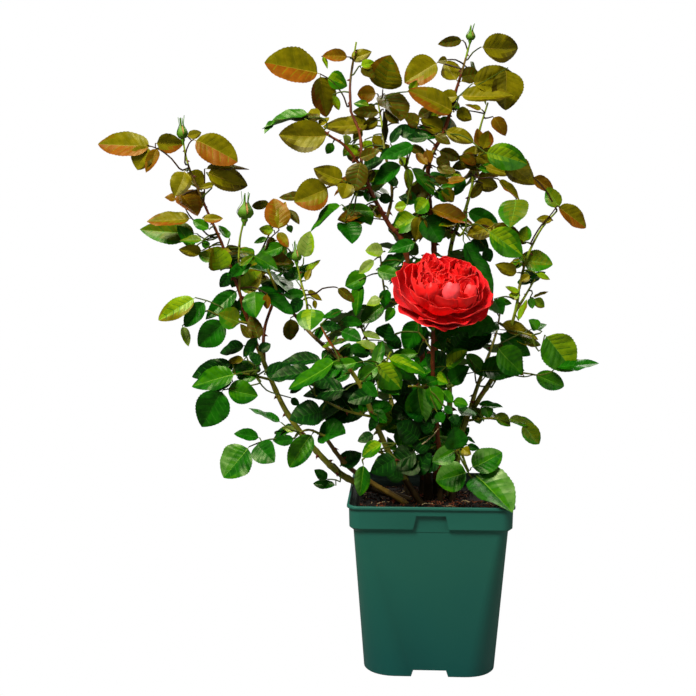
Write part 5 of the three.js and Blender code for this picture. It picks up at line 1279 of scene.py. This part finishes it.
def seen_leaflet(pile, row, depth, rng):
    """A leaflet placed one by one. Where it looks too broad for its length it comes towards the viewer,
    and where it looks too narrow its face is turned up."""
    x, z, tip_x, tip_z, width, tone, *tip_depth = row
    base = seen(x, z, depth)
    scale = 1 - depth / EYE[1]
    span = math.hypot(tip_x - x, tip_z - z) * scale
    hidden = math.sqrt(max((width * scale / BROADEST) ** 2 - span ** 2, 0))
    toward = hidden + rng.uniform(-0.4, 0.35) * span
    tip = seen(tip_x, tip_z, tip_depth[0] if tip_depth else depth - toward)
    heading, length = unit(tip - base), np.linalg.norm(tip - base)
    width *= FULLER * scale
    full = max(width / math.cos(rng.uniform(0, 0.5)), SLIMMEST * length)
    roll = math.acos(width / full)
    facing = unit(EYE - base)
    facing = unit(facing - heading * facing.dot(heading))
    level = np.cross(heading, facing)
    if level[2] < 0:
        level = -level
    normal = facing * math.cos(roll) + level * math.sin(roll)
    colours, lean, rib, under = TONES[tone]
    lower = 1 if np.cross(normal, heading)[2] < 0 else -1
    look = leaf_look(colours, rib, under, rng.uniform(-0.1, 0.1), lean * lower, rng.uniform(0.3, 0.8))
    shape = (rng.uniform(0.5, 0.62), rng.uniform(0.7, 0.9))
    leaflet(pile, (base, heading, normal), length, full, look, rng, SEEN_BENDS, shape)


def parts_of(leaf):
    """The places that the stalk of a listed leaf passes, and its leaflets."""
    parts = leaf if isinstance(leaf, list) else [leaf]
    return [part for part in parts if len(part) == 2], [part for part in parts if len(part) > 2]


# Where the middles of the listed leaflets look to be, their depth, and half of how long they look
PLACED = np.array([((x + tip_x) / 2, (z + tip_z) / 2, depth, math.hypot(tip_x - x, tip_z - z) / 2)
                   for _, depth, leaves in SEEN for leaf in leaves
                   for x, z, tip_x, tip_z, *_ in parts_of(leaf)[1]])


def seen_leaf(piles, tint, depth, leaf, stations, rng):
    """A leaf placed one by one: its stalk from the nearest stem, its first leaflet at the end of that,
    and the others from the nearest place on it."""
    route, rows = parts_of(leaf)
    depth += rng.uniform(-DEPTH_SPREAD, DEPTH_SPREAD)
    end = seen(*rows[0][:2], depth)
    places = [seen(x, z, depth) for x, z in route]
    root = nearest(stations, places[0] if places else end)
    if not places:
        places = [(root + end) / 2 + UP * 0.1 * np.linalg.norm(end - root)]
    path, _ = limb_path(Line([root, *places, end + [0, 0, 0.1]]), 5)
    tone = rows[0][5]
    kind = "stalk_brown" if tone in ("half", "rust", "bronze", "umber", "rim") else "stalk_green"
    piles["stalks"].add(*tube(path, np.linspace(*STALK_RADII, len(path)), 5), kind)
    for row in rows:
        base = seen(*row[:2], depth)
        foot = nearest(path, base)
        if np.linalg.norm(base - foot) > 1.5:
            joint = foot + (base - foot) * np.linspace(-0.05, 1.05, 5)[:, None]
            piles["stalks"].add(*tube(joint, np.full(5, JOINT_RADIUS), 5), kind)
        seen_leaflet(piles[tint], row, depth, rng)


def find_leaf(row, root, draw, open_side, tree):
    """The leaf that the model grew from this row, or None where it had no room for one."""
    azimuth, rise, reach, turn = row
    tip_length = TIP_BASE + TIP_SHARE * reach
    wobble = [draw() * 2 - 1 for _ in range(7)]
    face = turn + SPREAD["face"] * wobble[0]
    for shift_turn, shift_rise in LEAF_SHIFTS:
        stalk = Stalk(root, azimuth + shift_turn, rise + shift_rise, reach)
        end = station(stalk, 1 - tip_length / reach, face, open_side)
        if tree.find(tip_of(end, tip_length) * MM)[2] > SAME_PLACE * MM:
            continue
        pairs = [(length, place)
                 for length, options in pair_places(stalk, reach, tip_length, face, wobble, open_side)
                 for place in options if tree.find(tip_of(place, length) * MM)[2] < SAME_PLACE * MM]
        return stalk, end, tip_length, pairs
    return None


def grow_leaf(piles, leaf, tint, rng, sprays=None):
    """The stalk and the blades of a leaf, but for those that have no room."""
    stalk, end, tip_length, pairs = leaf
    pairs = [(length, place) for length, place in pairs if not has_no_room(place, length)]
    if has_no_room(end, tip_length):
        return
    reach = np.linalg.norm(stalk.c - stalk.a)
    look = spray_look(sprays or tint, rng)
    red = "orange" in look["colours"] or "brown" in look["colours"]
    stop = 1 - tip_length / reach
    path = [stalk.point(t) for t in np.linspace(0, stop + 0.02, 9)]
    kind = "stalk_brown" if red else "stalk_green"
    piles["stalks"].add(*tube(path, np.linspace(*RULE_STALK_RADII, 9), 5), kind)
    leaflet(piles[tint], end, tip_length, tip_length * TIP_WIDTH, look, rng)
    for length, place in pairs:
        leaflet(piles[tint], place, length, length * PAIR_WIDTH, look, rng)


def fresh_leaf(row, root, draw, open_side):
    """A leaf by the same rule where the model has none."""
    azimuth, rise, reach, turn = row
    tip_length = (TIP_BASE + TIP_SHARE * reach) * 0.92
    wobble = [draw() * 2 - 1 for _ in range(7)]
    face = turn + SPREAD["face"] * wobble[0]
    stalk = Stalk(root, azimuth, rise, reach)
    end = station(stalk, 1 - tip_length / reach, face, open_side)
    places = []
    for k, gap in enumerate([0.04, 0.3]):
        step = 1 - tip_length / reach - gap
        at, heading, normal = station(stalk, max(step, 0.12), face, open_side)
        left = np.cross(normal, heading)
        angle = math.radians(PAIR_ANGLE - 12 + SPREAD["angle"] * wobble[2 + k])
        for sign in (1, -1):
            out = heading * math.cos(angle) + left * sign * math.sin(angle)
            places.append((tip_length * PAIR_SIZES[k], (at, out, normal)))
    return stalk, end, tip_length, places


def drawn(ranges, rng):
    return [rng.uniform(*ranges[k]) for k in ("rise", "reach", "turn")]


def facing_side(place):
    """Which way the leaves at a place face: back behind the middle of the crown, or else to the front."""
    return 1 if place[1] > REAR_FROM else -1


def grow_inner(piles):
    """Leaves straight from the canes, which fill the crown from within."""
    for number, (limb, start, end, count, tint) in enumerate(INNER):
        rng = np.random.default_rng(SEEDS["inner"] + number)
        for i in range(count):
            share = start + (end - start) * (i + rng.uniform(0.2, 0.8)) / count
            root = lines[limb].point(share)
            row = [GOLDEN_TURN * i + 40 * number, *drawn(INNER_LEAF, rng)]
            grow_leaf(piles, fresh_leaf(row, root, rng.random, facing_side(root)), tint, rng)


def sown_rows(seed, count):
    """The leaves that the model's rule sows on a mass."""
    draw = seeded(seed * 7919)
    start = 360 * draw()
    for i in range(count):
        place = SOWN["first"] + (SOWN["last"] - SOWN["first"]) * (i + 0.5) / count
        rise, reach, turn = [low + (high - low) * draw() for low, high in
                             (SOWN["rise"], SOWN["reach"], SOWN["turn"])]
        yield [place, start + GOLDEN_TURN * i, rise, reach, turn]


def vertex_tree(node):
    """The places of the model's vertices in a mass, to find its leaves by."""
    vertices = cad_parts[node].data.vertices
    tree = kdtree.KDTree(len(vertices))
    for i, vertex in enumerate(vertices):
        tree.insert(vertex.co, i)
    tree.balance()
    return tree


def young_bark(tint, rings, faces):
    """The bark of each face of a young stem, in thirds from its foot to its tip."""
    thirds = np.minimum(np.arange(faces) // YOUNG_SIDES * 3 // rings, 2)
    return np.array(STEM_LOOKS[tint], object)[thirds]


def grow_mass(piles, thorns, mass):
    """A mass of foliage: its stem with thorns, the model's leaves, finer ones and perhaps a bud."""
    name, limb, share, tint, seed, listed, sown, places = mass
    line = lines[name] = Line([lines[limb].point(share), *places])
    path, length = limb_path(line, YOUNG_STEP)
    radii = bark_radii(path, length, YOUNG_RADII, YOUNG_SIDES, seed, False)
    points, faces = tube(path, radii, YOUNG_SIDES)
    kinds = "bark_rust" if name == RUSTY else young_bark(tint, len(path), len(faces))
    piles["stems"].add(points, faces, kinds)
    rng = np.random.default_rng(seed)
    add_thorns(thorns, path, np.linspace(*YOUNG_RADII, len(path)), length, *YOUNG_THORNS, rng)
    side = facing_side(places[-1])
    tree = vertex_tree(name)
    sprays = "bronze" if tint == "mid" and places[-1][2] > BRONZE_FROM else tint
    rows = [*enumerate(LISTED.get(name, [])), *enumerate(sown_rows(seed, sown), listed)]
    for index, (at, *row) in rows:
        leaf = find_leaf(row, line.point(at), seeded(seed * 1000 + index), side, tree)
        if leaf:
            grow_leaf(piles, leaf, tint, rng, sprays)
    for i in range(FINE[tint]):
        at = 0.1 + 0.85 * (i + 0.5) / FINE[tint]
        row = [GOLDEN_TURN * i + 77 * seed, *drawn(FINE_LEAF, rng)]
        grow_leaf(piles, fresh_leaf(row, line.point(at), rng.random, side), tint, rng, sprays)
    if name in BUDS:
        make_bud(piles["buds"], line, *BUDS[name], rng)


def place_seen(piles):
    """The listed leaves, each on a stalk from the nearest of the stems."""
    shares = np.linspace(0, 1, STATIONS)
    stations = np.array([line.point(t) for line in lines.values() for t in shares])
    tints = {mass[0]: mass[3] for mass in MASSES}
    for number, (name, depth, leaves) in enumerate(SEEN):
        rng = np.random.default_rng(SEEDS["seen"] + number)
        for leaf in leaves:
            seen_leaf(piles, tints[name], depth, leaf, stations, rng)


def make_foliage(thorns):
    piles = {name: Pile() for name in (*SPRAYS, "stalks", "stems", "buds")}
    for mass in MASSES:
        grow_mass(piles, thorns, mass)
    grow_inner(piles)
    place_seen(piles)
    for tint in SPRAYS:
        names = [mass[0] for mass in MASSES if mass[3] == tint]
        for number, part in enumerate(split(piles[tint])):
            make_piece(f"leaves_{tint}_{number + 1}", part, names, sharp=70)
    make_piece("leaf_stalks", piles["stalks"])
    make_piece("young_stems", piles["stems"])
    make_piece("buds", piles["buds"], sharp=60)


def split(pile):
    """The same blades in as many piles as their triangles need."""
    parts = [Pile()]
    for points, faces, kinds in zip(pile.points, pile.faces, pile.kinds):
        if parts[-1].triangles() > MOST_TRIANGLES:
            parts.append(Pile())
        low = faces[faces >= 0].min()
        parts[-1].add(points, np.where(faces < 0, -1, faces - low), kinds)
    return parts


def make_bud(pile, line, length, radius, sunk, rng):
    """A tight bud on its hip, held by five sepals whose thin ends run out past its tip."""
    heading = unit(line.heading(1) + 2 * UP)
    at = line.point(1) - heading * sunk
    side = unit(np.cross(heading, (0.2, 0.9, 0.3)))
    other = np.cross(heading, side)
    angles = np.arange(12) * TAU / 12
    rings = [[at + heading * step * length + radius * share * (side * math.cos(a) + other * math.sin(a))
              for a in angles] for step, share in BUD_PROFILE]
    loft(pile, rings, ["bud"] * 5 + ["bud_tip"] * 4)
    for k in range(5):
        angle = TAU * k / 5 + 0.3
        out = side * math.cos(angle) + other * math.sin(angle)
        bud_sepal(pile, at, heading, out, length, radius, rng)


def bud_sepal(pile, at, heading, out, length, radius, rng):
    """A thin blade that hugs the bud and ends in a free point."""
    across = np.cross(heading, out)
    curl, stop = rng.uniform(-0.3, 0.5), rng.uniform(0.84, 1)
    blade = []
    for t in np.linspace(0, 1, 12):
        step = 0.15 + (stop - 0.15) * t
        share = np.interp(step, [0.15, 0.28, 0.4, 0.52, 0.64, 1], [0.6, 1.06, 1, 0.7, 0.4, 0.3 + curl])
        half = radius * np.interp(t, [0, 0.2, 0.4, 0.6, 1], [0.5, 0.62, 0.42, 0.16, 0.05]) + 0.2
        middle = at + heading * step * length + out * radius * share
        blade.append([middle - across * half, middle + out * 0.6, middle + across * half,
                      middle - out * 0.1])
    loft(pile, blade, "bud")


# Bloom
axis = unit(BLOOM_AXIS)
right = unit(np.array([1.0, 0, 0]) - axis * axis[0])
bloom_frame = np.array([right, np.cross(axis, right), axis])

# Rings of petals: count, then base, bend and lip as (radius, height), half width, curve across,
# ruffle, curl of the lip, how far they may stray from their places, and how much higher the lips
# at the sides stand than those towards the viewer
PETAL_RINGS = [
    (6, (4, -25), (46, -34), (57, -9), 36, 0.55, 1.6, 5, 0.1, 12),
    (6, (4, -24), (50, -28), (57, 0), 34, 0.6, 1.8, 4, 0.12, 16),
    (7, (4, -20), (46, -16), (48, 11), 28, 0.9, 1.6, 1, 0.16, 8),
    (8, (4, -18), (44, -6), (41, 21), 24, 1, 1.4, -1, 0.2, 2),
    (8, (4, -16), (38, 0), (33, 26), 20, 1.1, 1.3, -1, 0.22, 0),
]
# Small roses that fill the bowl: where each stands in it, and which way its first petal looks
WHORLS = [(-19, -15, 0.2), (20, -20, 1.4), (-17, 20, 2.3), (18, 18, 3.4), (0, 0, 4.1)]
# Their rings: count, radius and height of the lips
WHORL_RINGS = [(5, 17, 22), (5, 12, 25), (4, 8, 26), (3, 4, 26)]
# Petals that stand up in front: place, base, bend and lip, half width, look
FRONT_PETALS = [((6, 0, 0), (31, 2), (42, 21), (25, 34), 13, "petal_pink"),
                ((27, 0, 0), (25, 2), (35, 21), (21, 31), 9, "petal_heart"),
                ((-15, 0, 0), (32, 8), (38, 23), (26, 29), 9, "petal")]


def petal_places(t, u, angle, row, rng):
    """The inner side of an upright petal over the shares t up it and u across it."""
    _, base, bend, lip, half, curve, ruffle, curl, loose, lift = row
    v = t * (1 - 0.26 * np.abs(u) ** 2.6 - 0.05 * np.exp(-(u / 0.22) ** 2))
    w = v[..., None]
    base, bend = np.array(base, float), np.array(bend, float)
    lip = np.array(lip, float) * (1 + rng.uniform(-loose, loose) * 0.5) + [0, lift * math.cos(angle) ** 2]
    profile = (1 - w) ** 2 * base + 2 * w * (1 - w) * bend + w ** 2 * lip
    run = 2 * (1 - w) * (bend - base) + 2 * w * (lip - bend)
    run /= np.linalg.norm(run, axis=-1)[..., None]
    inward = np.stack([-run[..., 1], run[..., 0]], -1)
    width = half * (0.28 + 0.72 * np.sin(np.minimum(v / 0.7, 1) * math.pi / 2))
    rise = width * (1 - np.cos(u * curve)) / curve
    phase = rng.uniform(0, TAU)
    rise = rise + ruffle * t ** 2.5 * np.sin((2.3 * u + 0.4 * t) * math.pi + phase) * (0.4 + np.abs(u))
    rise = rise - curl * np.clip((t - 0.7) / 0.3, 0, 1) ** 2
    flat = profile + inward * rise[..., None]
    sideways = width * np.sin(u * curve) / curve + 0 * v
    return np.stack([flat[..., 0], sideways, flat[..., 1]], -1)


def petal_edge(rows, columns):
    """The faces that join the two sides of a petal all round."""
    border = [*range(columns)] + [r * columns + columns - 1 for r in range(1, rows)]
    border += [(rows - 1) * columns + c for c in range(columns - 2, -1, -1)]
    border += [r * columns for r in range(rows - 2, 0, -1)]
    count = rows * columns
    return [[b, a, a + count, b + count] for a, b in zip(border, border[1:] + border[:1])]


def petal(pile, angle, row, rng, hub=(0, 0, 0), front="petal", back="petal_back", grid=(15, 19)):
    """A thin blade that rises along a bent profile, cupped across and ruffled towards its edge."""
    rows, columns = grid
    half, loose = row[4], row[8]
    t, u = np.linspace(0, 1, rows)[:, None], np.linspace(-1, 1, columns)[None, :]
    spot = petal_places(t, u, angle, row, rng)
    turn = angle + rng.uniform(-loose, loose)
    spin = np.array([[math.cos(turn), math.sin(turn), 0], [-math.sin(turn), math.cos(turn), 0], [0, 0, 1]])
    lean = rng.normal(0, loose * 0.5)
    tilt = np.array([[1, 0, 0], [0, math.cos(lean), math.sin(lean)], [0, -math.sin(lean), math.cos(lean)]])
    spot = spot @ tilt @ spin * (BLOOM_SCALE if hub == (0, 0, 0) else 1) + hub
    seed = int(rng.integers(1 << 30))
    size = min(0.7 * half, 20)
    spot += (t * size * 0.07)[..., None] * np.stack(
        [ripple(spot, size, seed), ripple(spot, size, seed + 1), 0.6 * ripple(spot, size, seed + 2)], -1)
    inside = spot @ bloom_frame + BLOOM_CENTRE
    normals = np.cross(np.gradient(inside, axis=0), np.gradient(inside, axis=1))
    normals /= np.linalg.norm(normals, axis=-1)[..., None] + 1e-9
    outside = inside + normals * PETAL_THICKNESS
    quads, edge = grid_faces(rows, columns), petal_edge(rows, columns)
    # the rim faces take the lighter edge colour, a painted highlight
    pile.add(np.vstack([inside.reshape(-1, 3), outside.reshape(-1, 3)]),
             np.vstack([quads, quads[:, ::-1] + rows * columns, edge]),
             np.repeat([front, back, "petal_edge"], [len(quads), len(quads), len(edge)]))


def make_bloom():
    rng = np.random.default_rng(SEEDS["bloom"])
    outer, heart = Pile(), Pile()
    for number, row in enumerate(PETAL_RINGS):
        for k in range(row[0]):
            petal(outer, TAU * (k + 0.5 * (number % 2) + 0.13 * number) / row[0], row, rng)
    for number, (x, y, turn) in enumerate(WHORLS):
        for ring, (count, lip, height) in enumerate(WHORL_RINGS):
            for k in range(count):
                row = (count, (1.5, -10), (lip * 1.15, 6), (lip * 0.9, height), lip * 0.8 + 4,
                       1.2, 1.3, 0.5, 0.35, 0)
                tone = "petal_heart" if (number * 7 + ring + k) % 4 == 0 else "petal"
                petal(heart, turn + TAU * (k + 0.37 * ring) / count, row, rng, hub=(x, y, 0), front=tone,
                      grid=(10, 11))
    for hub, base, bend, lip, half, tone in FRONT_PETALS:
        petal(heart, -math.pi / 2, (1, base, bend, lip, half, 1.1, 0.3, -1, 0.05, 0), rng, hub=hub,
              front=tone, back=tone)
    make_piece("petals_outer", outer, ["bloom"], sharp=70)
    make_piece("petals_heart", heart, sharp=70)


def make_calyx():
    """The hip that joins the bloom to its cane, and five sepals."""
    hip = Pile()
    start, foot = lines["cane_bloom"].point(1), np.array([0, 0, -24.0]) @ bloom_frame + BLOOM_CENTRE
    path = [start + (foot - start) * t for t in np.linspace(-0.1, 1, 12)]
    radii = np.interp(np.linspace(0, 1, 12), [0, 0.45, 0.75, 1], [2.4, 3.2, 5.6, 5])
    hip.add(*tube(path, radii, 12), "bud")
    for k in range(5):
        angle = TAU * k / 5
        out = np.array([math.cos(angle), math.sin(angle), 0])
        across = np.array([-math.sin(angle), math.cos(angle), 0])
        blade = []
        for t in np.linspace(0, 1, 8):
            middle = out * (4 + 24 * t) + [0, 0, -25 - 5 * math.sin(t * 2.4)]
            half = 4.4 * (1 - t) ** 0.8 * (0.7 + t) + 0.2
            blade.append([(middle + offset) @ bloom_frame + BLOOM_CENTRE for offset in
                          (-across * half, [0, 0, 0.4], across * half, [0, 0, -0.7])])
        loft(hip, blade, "bud")
    make_piece("bloom_calyx", hip, sharp=60)


# Stage
def white_to_the_eye(tree, dim, output):
    """Shows plain white where it is looked at, while what it throws on the part is dim."""
    nodes, links = tree.nodes, tree.links
    path = nodes.new("ShaderNodeLightPath")
    mix = nodes.new("ShaderNodeMixShader")
    on_floor = output.type == "OUTPUT_MATERIAL"
    white = nodes.new("ShaderNodeEmission" if on_floor else "ShaderNodeBackground")
    white.inputs["Color"].default_value = (1, 1, 1, 1)
    links.new(path.outputs["Is Camera Ray"], mix.inputs[0])
    links.new(dim, mix.inputs[1])
    links.new(white.outputs[0], mix.inputs[2])
    links.new(mix.outputs[0], output.inputs["Surface"])


def make_floor():
    bpy.ops.mesh.primitive_plane_add(size=14, location=(0, 0, 0))
    floor = bpy.context.object
    floor.name = "floor"
    floor.data.materials.append(MATERIALS["floor"])
    tree = MATERIALS["floor"].node_tree
    white_to_the_eye(tree, tree.nodes["Principled BSDF"].outputs[0], tree.nodes["Material Output"])


def make_lamps():
    for name, place, aim, size, power, tint in LAMPS:
        light = bpy.data.lights.new(name, "AREA")
        light.size, light.energy, light.color = size, power, tint
        lamp = bpy.data.objects.new(name, light)
        lamp.location = place
        direction = np.array(aim) - place
        lamp.rotation_euler = (math.atan2(np.hypot(*direction[:2]), -direction[2]), 0,
                               math.atan2(direction[1], direction[0]) - math.pi / 2)
        bpy.context.scene.collection.objects.link(lamp)


def make_world():
    world = bpy.data.worlds.new("studio")
    world.use_nodes = True
    nodes, links = world.node_tree.nodes, world.node_tree.links
    place = nodes.new("ShaderNodeTexCoord")
    parts = nodes.new("ShaderNodeSeparateXYZ")
    ramp = nodes.new("ShaderNodeValToRGB")
    set_ramp(ramp, (0.0, 0.9), (WORLD_LOW, WORLD_HIGH))
    links.new(place.outputs["Generated"], parts.inputs["Vector"])
    links.new(parts.outputs["Z"], ramp.inputs["Fac"])
    links.new(ramp.outputs["Color"], nodes["Background"].inputs["Color"])
    white_to_the_eye(world.node_tree, nodes["Background"].outputs[0], nodes["World Output"])
    bpy.context.scene.world = world
    bpy.context.scene.view_settings.view_transform = "Standard"


def make_camera():
    camera = bpy.data.cameras.new("camera")
    camera.lens, camera.sensor_width, camera.clip_end = CAMERA_LENS, 36, 30
    view = bpy.data.objects.new("camera", camera)
    view.location = CAMERA_PLACE
    view.rotation_euler = (math.radians(90 - CAMERA_PITCH), 0, math.radians(CAMERA_YAW))
    bpy.context.scene.collection.objects.link(view)
    bpy.context.scene.camera = view


make_camera()
make_floor()
make_lamps()
make_world()
make_pot()
make_soil()
all_thorns = Pile()
make_limbs(all_thorns)
make_stub()
make_foliage(all_thorns)
make_piece("thorns", all_thorns, sharp=60)
make_bloom()
make_calyx()
